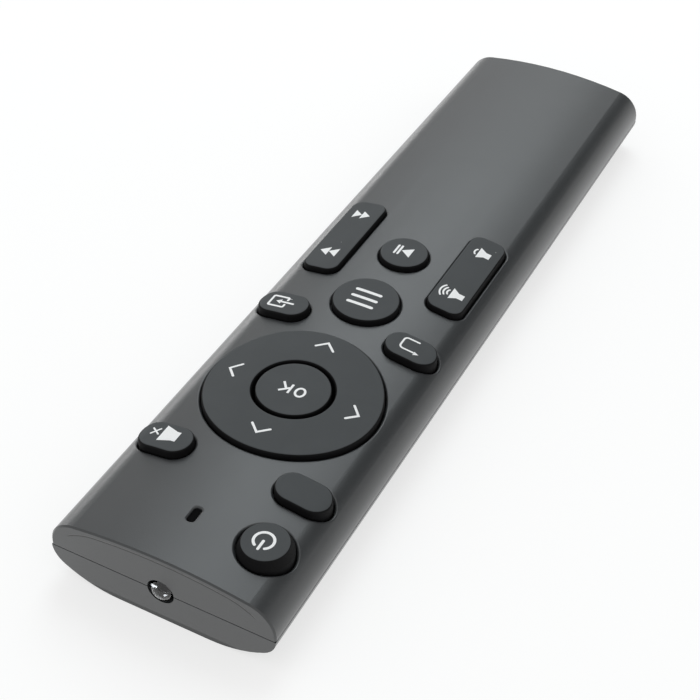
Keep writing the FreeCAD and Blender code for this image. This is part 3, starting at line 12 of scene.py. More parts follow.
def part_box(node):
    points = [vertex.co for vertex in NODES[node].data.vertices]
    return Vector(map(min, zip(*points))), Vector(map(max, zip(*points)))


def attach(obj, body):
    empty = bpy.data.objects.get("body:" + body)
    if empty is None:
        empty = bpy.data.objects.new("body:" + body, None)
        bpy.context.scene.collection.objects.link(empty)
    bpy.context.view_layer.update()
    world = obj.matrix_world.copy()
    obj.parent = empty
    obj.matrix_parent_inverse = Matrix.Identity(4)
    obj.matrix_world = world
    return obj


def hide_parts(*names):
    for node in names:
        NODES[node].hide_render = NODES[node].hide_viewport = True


bl_info = {
    "name": "Remote control finishes",
    "version": (1, 0, 0),
    "blender": (4, 5, 0),
    "location": "3D View > Sidebar > Remote",
    "description": "Finishes, key marks, contact springs and a plain stage for a remote control",
    "category": "Object",
}

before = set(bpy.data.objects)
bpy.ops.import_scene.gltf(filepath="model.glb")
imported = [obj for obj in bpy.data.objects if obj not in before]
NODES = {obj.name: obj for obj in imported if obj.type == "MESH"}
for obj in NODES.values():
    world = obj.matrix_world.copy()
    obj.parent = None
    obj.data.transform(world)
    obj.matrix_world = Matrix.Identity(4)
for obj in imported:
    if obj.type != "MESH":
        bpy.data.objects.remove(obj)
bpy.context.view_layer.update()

MM = 0.001

SHELLS = ("top_shell", "bottom_shell", "battery_door")
KEYS = ("power_key", "mute_key", "blank_key", "source_key", "back_key", "menu_key", "play_key",
        "ok_key", "direction_ring", "seek_rocker", "volume_rocker")
SILICONE = ("keypad_mat", "ring_collar")
PILLS = ("power_pill", "mute_pill", "blank_pill", "source_pill", "back_pill", "menu_pill",
         "play_pill", "ok_pill", "ring_pills", "seek_pills", "volume_pills")
PLATES = ("positive_contact", "negative_contact", "link_contact")
# Each cell, and whether its positive end is at the front.
CELLS = (("battery_right", True), ("battery_left", False))


# Sizes and colours that a user may change.

class RemoteCaseSettings(PropertyGroup):
    """Finish of the moulded case."""
    colour: FloatVectorProperty(
        name="Case colour", description="Colour of the moulded plastic", subtype="COLOR",
        size=3, min=0.0, max=1.0, default=(0.036, 0.0385, 0.040))
    roughness: FloatProperty(
        name="Case roughness", description="How dull the moulded plastic is", subtype="FACTOR",
        min=0.0, max=1.0, default=0.35)
    grain: FloatProperty(
        name="Grain size", description="Size of the spark-eroded grain", subtype="DISTANCE",
        unit="LENGTH", min=0.00002, default=0.16 * MM)
    grain_depth: FloatProperty(
        name="Grain depth", description="Depth of the spark-eroded grain", subtype="DISTANCE",
        unit="LENGTH", min=0.0, default=0.012 * MM)


class RemoteKeySettings(PropertyGroup):
    """Finish of the silicone keys."""
    # Partly painted sheen: the coat's grey is made a little lighter to make up for the sheen that the
    # keys' low IOR takes off the tops.
    coat: FloatVectorProperty(
        name="Coat colour", description="Colour of the sprayed coat on the key tops",
        subtype="COLOR", size=3, min=0.0, max=1.0, default=(0.064, 0.069, 0.0715))
    # Painted shade: the rubber colour on the key sides is near-black, standing in for the shade in the
    # grooves round the keys.
    rubber: FloatVectorProperty(
        name="Rubber colour", description="Colour of the bare rubber on the key sides",
        subtype="COLOR", size=3, min=0.0, max=1.0, default=(0.0015, 0.0015, 0.0018))
    coat_roughness: FloatProperty(
        name="Coat roughness", description="How dull the key tops are", subtype="FACTOR",
        min=0.0, max=1.0, default=0.58)


class RemoteMarkSettings(PropertyGroup):
    """The white marks printed on the keys."""
    ink: FloatVectorProperty(
        name="Ink colour", description="Colour of the printed marks", subtype="COLOR",
        size=3, min=0.0, max=1.0, default=(0.93, 0.935, 0.93))
    line: FloatProperty(
        name="Line width", description="Width of the printed lines", subtype="DISTANCE",
        unit="LENGTH", min=0.0001, default=0.46 * MM)
    film: FloatProperty(
        name="Ink thickness", description="Height of the ink over the key top",
        subtype="DISTANCE", unit="LENGTH", min=0.0, default=0.02 * MM)


class RemoteSpringSettings(PropertyGroup):
    """The contact springs behind the cells."""
    wire: FloatProperty(
        name="Wire", description="Diameter of the spring wire", subtype="DISTANCE",
        unit="LENGTH", min=0.0002, default=0.6 * MM)
    narrow: FloatProperty(
        name="Narrow end", description="Outer radius of the spring at the cell",
        subtype="DISTANCE", unit="LENGTH", min=0.001, default=2.3 * MM)
    turns: IntProperty(
        name="Turns", description="Open turns of each contact spring", min=2, default=3)


class RemoteLampSettings(PropertyGroup):
    """The parts cast inside the infrared LED."""
    cup: FloatProperty(
        name="Cup radius", description="Radius of the reflector cup's mouth", subtype="DISTANCE",
        unit="LENGTH", min=0.0002, default=0.8 * MM)
    tint: FloatVectorProperty(
        name="Epoxy tint", description="Tint of the clear epoxy", subtype="COLOR",
        size=3, min=0.0, max=1.0, default=(0.80, 0.84, 0.88))


class RemoteStageSettings(PropertyGroup):
    """Floor, lamps and camera."""
    floor: FloatProperty(
        name="Floor size", description="Side of the square floor", subtype="DISTANCE",
        unit="LENGTH", min=0.5, default=6.0)
    lamp: FloatProperty(
        name="Soft lamp power", description="Power of the tall soft lamp behind the remote",
        unit="POWER", min=0.0, default=5.6)
    rim: FloatProperty(
        name="Rim lamp power", description="Power of the low strip lamp at one side",
        unit="POWER", min=0.0, default=1.3)
    glint: FloatProperty(
        name="Front lamp power", description="Power of the small low lamp that glints in the LED",
        unit="POWER", min=0.0, default=0.6)
    table: FloatProperty(
        name="Light table power", description="Power of the light that the table gives back",
        unit="POWER", min=0.0, default=0.8)
    sky: FloatProperty(
        name="Room light", description="Strength of the even light from all round",
        min=0.0, default=0.62)
    lens: FloatProperty(
        name="Lens", description="Focal length of the camera in millimetres", min=10.0,
        default=73.0)


# Small helpers for meshes.

def make_piece(name, mesh_maker, material, body, smooth=True):
    """Turn a bmesh into an object that rides on a CAD body."""
    mesh = bpy.data.meshes.new(name)
    bmesh.ops.recalc_face_normals(mesh_maker, faces=mesh_maker.faces[:])
    mesh_maker.to_mesh(mesh)
    mesh_maker.free()
    for face in mesh.polygons:
        face.use_smooth = smooth
    mesh.materials.append(material)
    piece = bpy.data.objects.new(name, mesh)
    bpy.context.scene.collection.objects.link(piece)
    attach(piece, body)
    return piece


def middle(node):
    """Centre of a CAD node."""
    low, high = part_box(node)
    return (low + high) / 2


def tube(maker, path, radius, sides=12):
    """Sweep a round section along a path and close both ends."""
    rings = []
    across = (path[1] - path[0]).orthogonal().normalized()
    for number, point in enumerate(path):
        before = path[max(number - 1, 0)]
        after = path[min(number + 1, len(path) - 1)]
        ahead = (after - before).normalized()
        across = (across - ahead * across.dot(ahead)).normalized()
        up = ahead.cross(across)
        ring = []
        for step in range(sides):
            turn = 2 * math.pi * step / sides
            ring.append(maker.verts.new(point + (across * math.cos(turn) + up * math.sin(turn)) * radius))
        rings.append(ring)
    for first, second in zip(rings, rings[1:]):
        for step in range(sides):
            other = (step + 1) % sides
            maker.faces.new((first[step], first[other], second[other], second[step]))
    maker.faces.new(list(reversed(rings[0])))
    maker.faces.new(rings[-1])


def lathe(maker, profile, centre, steps=40):
    """Turn a profile of (radius, y) about a line along Y through centre."""
    rings = []
    for radius, y in profile:
        ring = []
        for step in range(steps):
            turn = 2 * math.pi * step / steps
            place = Vector((centre.x + radius * math.cos(turn), y, centre.z + radius * math.sin(turn)))
            ring.append(maker.verts.new(place))
        rings.append(ring)
    for first, second in zip(rings, rings[1:]):
        for step in range(steps):
            other = (step + 1) % steps
            maker.faces.new((first[step], first[other], second[other], second[step]))
    maker.faces.new(list(reversed(rings[0])))
    maker.faces.new(rings[-1])


def coil(centre, wide, narrow, start, end, turns):
    """A path that narrows along Y in open turns, with one closed turn before and after them."""
    per_turn = 36
    path = []
    for step in range((turns + 2) * per_turn + 1):
        turn = step / per_turn
        climb = min(max((turn - 1) / turns, 0.0), 1.0)
        radius = wide + (narrow - wide) * climb
        angle = 2 * math.pi * turn
        path.append(Vector((centre.x + radius * math.cos(angle), start + (end - start) * climb,
                            centre.z + radius * math.sin(angle))))
    return path


def slab(maker, outline, low, high):
    """A flat plate with the given outline in plan, from low to high."""
    bottom = [maker.verts.new((x, y, low)) for x, y in outline]
    top = [maker.verts.new((x, y, high)) for x, y in outline]
    maker.faces.new(list(reversed(bottom)))
    maker.faces.new(top)
    for number in range(len(outline)):
        other = (number + 1) % len(outline)
        maker.faces.new((bottom[number], bottom[other], top[other], top[number]))


# Flat shapes of the printed marks, in millimetres: +X to the user's right, +Y to the front.

def arc(x, y, radius, start, end, steps=24):
    """Points on an arc, angles in degrees from +X."""
    points = []
    for step in range(steps + 1):
        turn = math.radians(start + (end - start) * step / steps)
        points.append((x + radius * math.cos(turn), y + radius * math.sin(turn)))
    return points


def line(points, width, closed=False, rounded=True):
    """Patches that make a line of even width with mitred corners."""
    spots = [Vector(point) for point in points]
    count = len(spots)
    left, right = [], []
    for number, spot in enumerate(spots):
        ways = []
        if number or closed:
            ways.append((spot - spots[number - 1]).normalized())
        if number < count - 1 or closed:
            ways.append((spots[(number + 1) % count] - spot).normalized())
        along = (ways[0] + ways[-1]).normalized()
        side = Vector((-along.y, along.x))
        reach = width / 2 / max(side.dot(Vector((-ways[0].y, ways[0].x))), 0.3)
        left.append(spot + side * reach)
        right.append(spot - side * reach)
    patches = []
    for number in range(count if closed else count - 1):
        other = (number + 1) % count
        patches.append([left[number], left[other], right[other], right[number]])
    if rounded and not closed:
        for end, near in ((0, 1), (-1, -2)):
            out = (spots[end] - spots[near]).normalized()
            start = math.degrees(math.atan2(out.y, out.x)) - 90
            patches.append([Vector(p) for p in arc(*spots[end], width / 2, start, start + 180, 8)])
    return patches


def speaker(x, y, mouth, back, cone, box):
    """A loudspeaker that opens towards +X, from half its mouth and back heights and its depths."""
    return [[(x, y + mouth), (x - cone, y + back), (x - cone - box, y + back),
             (x - cone - box, y - back), (x - cone, y - back), (x, y - mouth)]]


def waves(x, y, radii, half_angle, width):
    """Sound waves in front of a loudspeaker."""
    patches = []
    for radius in radii:
        patches += line(arc(x, y, radius, -half_angle, half_angle, 14), width)
    return patches


def arrows(base_x, tip_x, y, half, count):
    """Triangles one behind the other, from the first base to the last tip."""
    step = (tip_x - base_x) / count
    return [[(base_x + step * n, y - half), (base_x + step * n, y + half), (base_x + step * (n + 1), y)]
            for n in range(count)]


def chevron(x, y, way, width):
    """An arrow head of two strokes whose tip points along way."""
    out = Vector(way)
    side = Vector((-out.y, out.x))
    tip = Vector((x, y))
    back = tip - out * 1.75
    half = side * 1.85
    return line([back + half, tip, back - half], width)


def power_mark(width):
    """A broken ring with a bar towards the front."""
    ring = line(arc(0.05, 0.42, 1.78, 90 + 32, 90 + 360 - 32, 44), width * 1.1)
    return ring + line([(0.07, 0.55), (0.07, 2.45)], width * 1.1)


def mute_mark(width):
    """A loudspeaker and a cross."""
    cross = line([(1.4, 0.2), (3.0, -0.95)], width * 0.7) + line([(1.6, -1.2), (2.8, 0.45)], width * 0.7)
    return speaker(0.85, -0.35, 2.05, 1.22, 2.45, 0.85) + cross


def source_mark(width):
    """An open box with an arrow that goes into it."""
    box = line([(-0.68, -0.68), (-0.68, -1.15)] + arc(-0.38, -1.15, 0.3, 180, 270, 6)
               + arc(2.35, -1.15, 0.3, 270, 360, 6) + arc(2.35, 1.35, 0.3, 0, 90, 6)
               + arc(-0.38, 1.35, 0.3, 90, 180, 6) + [(-0.68, 0.82)], width)
    shaft = line([(-2.2, 0.07), (0.45, 0.07)], width)
    return box + shaft + [[(0.45, -0.62), (1.55, 0.07), (0.45, 0.76)]]


def back_mark(width):
    """An arrow that turns back."""
    path = [(-0.85, -1.85)] + arc(1.35, -1.1, 0.75, -90, 0, 8) + arc(1.35, 0.5, 0.75, 0, 90, 8)
    return line(path + [(-1.15, 1.25)], width * 0.8) + [[(-1.0, 0.85), (-2.0, 1.3), (-1.0, 1.85)]]


def menu_mark(width):
    """Three bars."""
    patches = []
    for y in (-1.65, 0.45, 2.55):
        patches += line([(-2.4, y), (2.7, y)], width * 1.6)
    return patches


def play_mark(width):
    """A triangle and two bars."""
    bars = line([(0.82, -1.15), (0.82, 1.6)], width) + line([(1.6, -1.15), (1.6, 1.6)], width)
    return [[(-1.75, -1.35), (0.45, 0.2), (-1.75, 1.75)]] + bars


def seek_mark(width):
    """Fast forward at the front end and rewind at the rear end."""
    return arrows(-1.95, 1.9, 7.45, 1.45, 2) + arrows(1.55, -2.1, -7.2, 1.4, 2)


def volume_mark(width):
    """Louder at the front end and quieter at the rear end."""
    loud = speaker(0.1, 7.85, 1.75, 0.78, 1.45, 1.3)
    loud += waves(-0.15, 7.85, (1.05, 1.8, 2.55), 40, width * 0.8)
    soft = speaker(0.6, -7.1, 1.75, 0.85, 1.45, 1.2) + waves(0.2, -7.1, (1.2,), 44, width * 0.8)
    return loud + soft


def ok_mark(width):
    """The letters O and K."""
    letter = [(-1.62 + 0.88 * math.cos(2 * math.pi * n / 40), 0.4 + 1.12 * math.sin(2 * math.pi * n / 40))
              for n in range(40)]
    stem = line([(0.42, -0.92), (0.42, 1.62)], width, rounded=False)
    arm = line([(0.6, 0.2), (2.3, 1.66)], width, rounded=False)
    leg = line([(1.15, 0.66), (2.4, -0.95)], width, rounded=False)
    return line(letter, width, closed=True) + stem + arm + leg


def ring_mark(width):
    """Four chevrons."""
    return (chevron(0.25, 13.1, (0, 1), width) + chevron(0.25, -14.3, (0, -1), width)
            + chevron(13.6, -0.1, (1, 0), width) + chevron(-13.4, -0.1, (-1, 0), width))


# Each printed key: its node, the body that it moves with, the node at its centre, its mark,
# and how far the mark stands off the centre, in millimetres.
MARKS = (
    ("power_key", "power", "power_pill", power_mark, (0.29, -0.5)),
    ("mute_key", "mute", "mute_pill", mute_mark, (0.25, -0.17)),
    ("source_key", "source", "source_pill", source_mark, (0.25, -0.22)),
    ("back_key", "back", "back_pill", back_mark, (-0.03, -0.22)),
    ("menu_key", "menu", "menu_pill", menu_mark, (0.21, -0.44)),
    ("play_key", "play", "play_pill", play_mark, (0.21, -0.48)),
    ("ok_key", "ok", "ok_pill", ok_mark, (0.0, 0.0)),
    ("direction_ring", "ring", "ring_pills", ring_mark, (0.0, 0.0)),
    ("seek_rocker", "seek", "seek_pills", seek_mark, (0.44, -0.54)),
    ("volume_rocker", "volume", "volume_pills", volume_mark, (0.2, -0.54)),
)


def key_height(node):
    """A function that gives the height of a key's top over a place in plan."""
    mesh = NODES[node].data
    tree = BVHTree.FromPolygons([v.co for v in mesh.vertices], [p.vertices[:] for p in mesh.polygons])

    def height(x, y):
        spot = tree.ray_cast(Vector((x, y, 0.1)), Vector((0, 0, -1)))[0]
        if spot is None:
            raise RuntimeError("a mark runs off " + node)
        return spot.z
    return height


def print_mark(name, node, body, centre, patches, film, material):
    """Lay patches on a key top as a thin film of ink that follows it."""
    maker = bmesh.new()
    for patch in patches:
        corners = [maker.verts.new((centre.x + p[0] * MM, centre.y + p[1] * MM, 0)) for p in patch]
        face = maker.faces.new(corners)
        face.normal_update()
        if face.normal.z < 0:
            face.normal_flip()
    bmesh.ops.remove_doubles(maker, verts=maker.verts[:], dist=0.002 * MM)
    bmesh.ops.triangulate(maker, faces=maker.faces[:])
    low = Vector((min(v.co.x for v in maker.verts), min(v.co.y for v in maker.verts), 0))
    high = Vector((max(v.co.x for v in maker.verts), max(v.co.y for v in maker.verts), 0))
    for way in (Vector((1, 0, 0)), Vector((0, 1, 0))):
        cuts = int((high - low).dot(way) / MM)
        for number in range(1, cuts + 1):
            everything = maker.verts[:] + maker.edges[:] + maker.faces[:]
            bmesh.ops.bisect_plane(maker, geom=everything, plane_co=low + way * number * MM, plane_no=way)
    raised = bmesh.ops.extrude_face_region(maker, geom=maker.faces[:])
    tops = {v for v in raised["geom"] if isinstance(v, bmesh.types.BMVert)}
    height = key_height(node)
    for vert in maker.verts:
        lift = film if vert in tops else -film
        vert.co.z = height(vert.co.x, vert.co.y) + lift
    return make_piece(name, maker, material, body, smooth=False)


# Shader building.

def add(tree, kind, inputs=None, **settings):
    """Add a shader node, set it up and feed its inputs with values or with other sockets."""
    made = tree.nodes.new(kind)
    for name, value in settings.items():
        setattr(made, name, value)
    for name, value in (inputs or {}).items():
        if isinstance(value, bpy.types.NodeSocket):
            tree.links.new(value, made.inputs[name])
        else:
            made.inputs[name].default_value = value
    return made


def math_node(tree, operation, first, second=0.0):
    """A math node's result."""
    made = add(tree, "ShaderNodeMath", {0: first, 1: second}, operation=operation)
    return made.outputs[0]


def blend_colours(tree, share, first, second):
    """A colour between two, by a share."""
    made = add(tree, "ShaderNodeMix", data_type="RGBA")
    for index, value in ((0, share), (6, first), (7, second)):
        if isinstance(value, bpy.types.NodeSocket):
            tree.links.new(value, made.inputs[index])
        else:
            made.inputs[index].default_value = value
    return made.outputs[2]


def spread(tree, value, low, high, to_low, to_high):
    """A value moved from one range to another with a smooth step."""
    made = add(tree, "ShaderNodeMapRange",
               {"Value": value, "From Min": low, "From Max": high, "To Min": to_low, "To Max": to_high},
               interpolation_type="SMOOTHSTEP")
    return made.outputs["Result"]


def new_group(name, inputs, outputs):
    """An empty shader node group with named sockets; inputs hold their default values."""
    tree = bpy.data.node_groups.new(name, "ShaderNodeTree")
    for label, value in inputs:
        socket = tree.interface.new_socket(name=label, in_out="INPUT", socket_type="NodeSocketFloat")
        socket.default_value = value
    for label in outputs:
        tree.interface.new_socket(name=label, in_out="OUTPUT", socket_type="NodeSocketFloat")
    entry = tree.nodes.new("NodeGroupInput")
    leave = tree.nodes.new("NodeGroupOutput")
    return tree, entry, leave


def use_group(tree, group, **values):
    """Place a group in a material with its own values."""
    made = tree.nodes.new("ShaderNodeGroup")
    made.node_tree = group
    for name, value in values.items():
        made.inputs[name.replace("_", " ")].default_value = value
    return made


def grain_group():
    """Fine pits of a spark-eroded mould, with a slow mottle."""
    tree, entry, leave = new_group("mould grain", (("Grain size", 0.16 * MM),), ("Height", "Mottle"))
    place = add(tree, "ShaderNodeTexCoord").outputs["Object"]
    scale = math_node(tree, "DIVIDE", 1.0, entry.outputs["Grain size"])
    fine = add(tree, "ShaderNodeTexNoise",
               {"Vector": place, "Scale": scale, "Detail": 2.0, "Roughness": 0.6})
    slow_scale = math_node(tree, "MULTIPLY", scale, 0.02)
    slow = add(tree, "ShaderNodeTexNoise", {"Vector": place, "Scale": slow_scale, "Detail": 3.0})
    tree.links.new(fine.outputs["Fac"], leave.inputs["Height"])
    tree.links.new(slow.outputs["Fac"], leave.inputs["Mottle"])
    return tree


def handling_group():
    """Soft patches where hands have polished or dulled a surface."""
    tree, entry, leave = new_group("handling", (("Patch size", 14 * MM),), ("Patches",))
    place = add(tree, "ShaderNodeTexCoord").outputs["Object"]
    scale = math_node(tree, "DIVIDE", 1.0, entry.outputs["Patch size"])
    noise = add(tree, "ShaderNodeTexNoise",
                {"Vector": place, "Scale": scale, "Detail": 4.0, "Distortion": 0.6})
    tree.links.new(spread(tree, noise.outputs["Fac"], 0.35, 0.7, 0.0, 1.0), leave.inputs["Patches"])
    return tree


def dust_group():
    """Sparse specks of dust."""
    sizes = (("Speck spacing", 5 * MM), ("Speck size", 0.12 * MM))
    tree, entry, leave = new_group("dust", sizes, ("Specks",))
    place = add(tree, "ShaderNodeTexCoord").outputs["Object"]
    scale = math_node(tree, "DIVIDE", 1.0, entry.outputs["Speck spacing"])
    cells = add(tree, "ShaderNodeTexVoronoi", {"Vector": place, "Scale": scale})
    share = math_node(tree, "DIVIDE", entry.outputs["Speck size"], entry.outputs["Speck spacing"])
    near = math_node(tree, "LESS_THAN", cells.outputs["Distance"], share)
    tree.links.new(near, leave.inputs["Specks"])
    return tree


def drawn_group():
    """Fine streaks of drawn or rolled metal along Y."""
    tree, entry, leave = new_group("drawn metal", (("Streak width", 0.08 * MM),), ("Height", "Tone"))
    place = add(tree, "ShaderNodeTexCoord").outputs["Object"]
    squeezed = add(tree, "ShaderNodeMapping", {"Vector": place, "Scale": (1.0, 0.06, 1.0)})
    scale = math_node(tree, "DIVIDE", 1.0, entry.outputs["Streak width"])
    noise = add(tree, "ShaderNodeTexNoise", {"Vector": squeezed.outputs[0], "Scale": scale, "Detail": 3.0})
    tree.links.new(noise.outputs["Fac"], leave.inputs["Height"])
    tree.links.new(spread(tree, noise.outputs["Fac"], 0.3, 0.7, 0.0, 1.0), leave.inputs["Tone"])
    return tree


GROUP_MAKERS = {
    "mould grain": grain_group,
    "handling": handling_group,
    "dust": dust_group,
    "drawn metal": drawn_group,
}


def group(name):
    """A shared effect, built when it is first asked for."""
    return bpy.data.node_groups.get(name) or GROUP_MAKERS[name]()


def start_material(name, **values):
    """A material with plain values on its shader's own sockets."""
    material = bpy.data.materials.new(name)
    material.use_nodes = True
    shader = material.node_tree.nodes["Principled BSDF"]
    for label, value in values.items():
        socket = shader.inputs[label.replace("_", " ")]
        colour = isinstance(value, tuple) and len(value) == 3
        socket.default_value = (*value, 1.0) if colour else value
    return material, material.node_tree, shader


def emboss(tree, shader, height, distance):
    """Let a height press into the surface."""
    bump = add(tree, "ShaderNodeBump", {"Height": height, "Distance": distance, "Strength": 1.0})
    tree.links.new(bump.outputs["Normal"], shader.inputs["Normal"])


def rgba(colour, factor=1.0):
    """A colour with full alpha, made lighter or darker by a factor."""
    return (*[min(part * factor, 1.0) for part in colour], 1.0)


def dress(nodes, material):
    """Give a material to CAD nodes."""
    for name in nodes:
        piece = NODES[name]
        if not piece.material_slots:
            piece.data.materials.append(material)
        for holder in piece.material_slots:
            holder.material = material


def case_plastic(settings):
    """Satin moulded plastic: fine grain, slight mottle, handling, a few specks, and the thin groove under
    the top edge of the end faces, pressed in and painted dark as painted shade.
    """
    material, tree, shader = start_material("case plastic", IOR=1.5)
    colour = tuple(settings.colour)
    grain = use_group(tree, group("mould grain"), Grain_size=settings.grain)
    hands = use_group(tree, group("handling"), Patch_size=16 * MM)
    dust = use_group(tree, group("dust"), Speck_spacing=11 * MM, Speck_size=0.10 * MM)
    tone = blend_colours(tree, spread(tree, grain.outputs["Mottle"], 0.3, 0.7, 0.0, 1.0),
                         rgba(colour, 0.98), rgba(colour, 1.02))
    specked = blend_colours(tree, dust.outputs["Specks"], tone, (0.5, 0.5, 0.49, 1.0))
    groove_and_shade = end_groove_and_shade(tree)
    # Painted shade: the groove under the top edge of the end faces is painted almost black, as the shade
    # that falls in it.
    groove_shaded = blend_colours(tree, groove_and_shade, specked, rgba(colour, 0.1))
    tree.links.new(groove_shaded, shader.inputs["Base Color"])
    rough = spread(tree, hands.outputs["Patches"], 0.0, 1.0,
                   settings.roughness - 0.006, settings.roughness + 0.008)
    tree.links.new(rough, shader.inputs["Roughness"])
    height = math_node(tree, "SUBTRACT", grain.outputs["Height"], math_node(tree, "MULTIPLY", groove_and_shade, 12.0))
    emboss(tree, shader, height, settings.grain_depth)
    return material


def end_groove_and_shade(tree):
    """One along the thin groove under the top edge of the end faces, and nought elsewhere: it presses the
    groove in and paints its shade.
    """
    coordinates = add(tree, "ShaderNodeTexCoord")
    place = add(tree, "ShaderNodeSeparateXYZ", {"Vector": coordinates.outputs["Object"]})
    facing = add(tree, "ShaderNodeSeparateXYZ", {"Vector": coordinates.outputs["Normal"]})
    middle_height, sag_length = 14.4 * MM, 170 * MM
    drop_start, drop_length = 13 * MM, 22 * MM
    full_within, gone_beyond = 0.08 * MM, 0.19 * MM
    fade_start, fade_end = 17.0 * MM, 18.6 * MM
    across = math_node(tree, "ABSOLUTE", place.outputs["X"])
    beyond = math_node(tree, "MAXIMUM", math_node(tree, "SUBTRACT", across, drop_start), 0.0)
    sag = math_node(tree, "DIVIDE", math_node(tree, "MULTIPLY", across, across), sag_length)
    drop = math_node(tree, "DIVIDE", math_node(tree, "MULTIPLY", beyond, beyond), drop_length)
    height = math_node(tree, "SUBTRACT", math_node(tree, "SUBTRACT", middle_height, sag), drop)
    away = math_node(tree, "ABSOLUTE", math_node(tree, "SUBTRACT", place.outputs["Z"], height))
    near = spread(tree, away, full_within, gone_beyond, 1.0, 0.0)
    flat = math_node(tree, "GREATER_THAN", math_node(tree, "ABSOLUTE", facing.outputs["Y"]), 0.9)
    inside = spread(tree, across, fade_start, fade_end, 1.0, 0.0)
    return math_node(tree, "MULTIPLY", near, math_node(tree, "MULTIPLY", flat, inside))


def key_rubber(settings):
    """Silicone keys: a matt grey coat on the tops, lightened a little as painted sheen, and bare rubber on
    the sides, painted near-black as painted shade.
    """
    material, tree, shader = start_material("key rubber", IOR=1.25)
    coat = tuple(settings.coat)
    normal = add(tree, "ShaderNodeTexCoord").outputs["Normal"]
    upward = add(tree, "ShaderNodeSeparateXYZ", {"Vector": normal}).outputs["Z"]
    on_top = spread(tree, upward, 0.80, 0.955, 0.0, 1.0)
    grain = use_group(tree, group("mould grain"), Grain_size=0.10 * MM)
    hands = use_group(tree, group("handling"), Patch_size=7 * MM)
    dust = use_group(tree, group("dust"), Speck_spacing=5.5 * MM, Speck_size=0.11 * MM)
    tone = blend_colours(tree, hands.outputs["Patches"], rgba(coat, 0.97), rgba(coat, 1.03))
    # Painted shade on the sides and painted sheen on the tops: faces that do not look up get the
    # near-black rubber colour as the grooves' shade, and the tops get the lightened coat.
    body = blend_colours(tree, on_top, rgba(tuple(settings.rubber)), tone)
    specked = blend_colours(tree, dust.outputs["Specks"], body, (0.35, 0.35, 0.34, 1.0))
    tree.links.new(specked, shader.inputs["Base Color"])
    rough = spread(tree, on_top, 0.0, 1.0, 0.78, settings.coat_roughness)
    tree.links.new(rough, shader.inputs["Roughness"])
    emboss(tree, shader, grain.outputs["Height"], 0.008 * MM)
    return material


def mark_ink(settings):
    """White silk-screen ink with slight unevenness."""
    material, tree, shader = start_material("mark ink", Roughness=0.55)
    ink = tuple(settings.ink)
    grain = use_group(tree, group("mould grain"), Grain_size=0.12 * MM)
    share = spread(tree, grain.outputs["Height"], 0.35, 0.65, 0.0, 1.0)
    tone = blend_colours(tree, share, rgba(ink, 0.96), rgba(ink, 1.02))
    tree.links.new(tone, shader.inputs["Base Color"])
    emboss(tree, shader, grain.outputs["Height"], 0.004 * MM)
    return material


def plain_finish(name, colour, roughness, grain=0.15 * MM, depth=0.006 * MM, **values):
    """A moulded or cast finish with its own grain and a slight change of tone."""
    material, tree, shader = start_material(name, Roughness=roughness, **values)
    varied = 0.08
    texture = use_group(tree, group("mould grain"), Grain_size=grain)
    share = spread(tree, texture.outputs["Mottle"], 0.3, 0.7, 0.0, 1.0)
    tone = blend_colours(tree, share, rgba(colour, 1 - varied), rgba(colour, 1 + varied))
    tree.links.new(tone, shader.inputs["Base Color"])
    emboss(tree, shader, texture.outputs["Height"], depth)
    return material


def metal_finish(name, colour, roughness, streak=0.08 * MM):
    """Rolled or plated metal with fine streaks."""
    material, tree, shader = start_material(name, Metallic=1.0)
    streaks = use_group(tree, group("drawn metal"), Streak_width=streak)
    tone = blend_colours(tree, streaks.outputs["Tone"], rgba(colour, 0.9), rgba(colour, 1.05))
    tree.links.new(tone, shader.inputs["Base Color"])
    rough = spread(tree, streaks.outputs["Tone"], 0.0, 1.0, roughness + 0.06, roughness - 0.04)
    tree.links.new(rough, shader.inputs["Roughness"])
    emboss(tree, shader, streaks.outputs["Height"], 0.003 * MM)
    return material


def laminate_finish():
    """Green solder resist with copper tracks showing through it."""
    material, tree, shader = start_material("board laminate", Roughness=0.35, Coat_Weight=0.3)
    place = add(tree, "ShaderNodeTexCoord").outputs["Object"]
    paths = add(tree, "ShaderNodeTexVoronoi", {"Vector": place, "Scale": 420.0, "Randomness": 0.75},
                feature="DISTANCE_TO_EDGE")
    track = spread(tree, paths.outputs["Distance"], 0.06, 0.09, 1.0, 0.0)
    resist, over_copper = (0.012, 0.095, 0.035, 1.0), (0.045, 0.22, 0.085, 1.0)
    colour = blend_colours(tree, track, resist, over_copper)
    tree.links.new(colour, shader.inputs["Base Color"])
    emboss(tree, shader, track, 0.03 * MM)
    return material


def pad_finish():
    """Carbon contact pads with interlaced fingers."""
    material, tree, shader = start_material("contact pads", Roughness=0.6)
    place = add(tree, "ShaderNodeTexCoord").outputs["Object"]
    across = add(tree, "ShaderNodeSeparateXYZ", {"Vector": place}).outputs["X"]
    pitch = 0.8 * MM
    ripple = math_node(tree, "SINE", math_node(tree, "MULTIPLY", across, 2 * math.pi / pitch))
    finger = spread(tree, ripple, -0.15, 0.15, 0.0, 1.0)
    resist, carbon = (0.02, 0.10, 0.04, 1.0), (0.018, 0.018, 0.019, 1.0)
    colour = blend_colours(tree, finger, resist, carbon)
    tree.links.new(colour, shader.inputs["Base Color"])
    emboss(tree, shader, finger, 0.02 * MM)
    return material


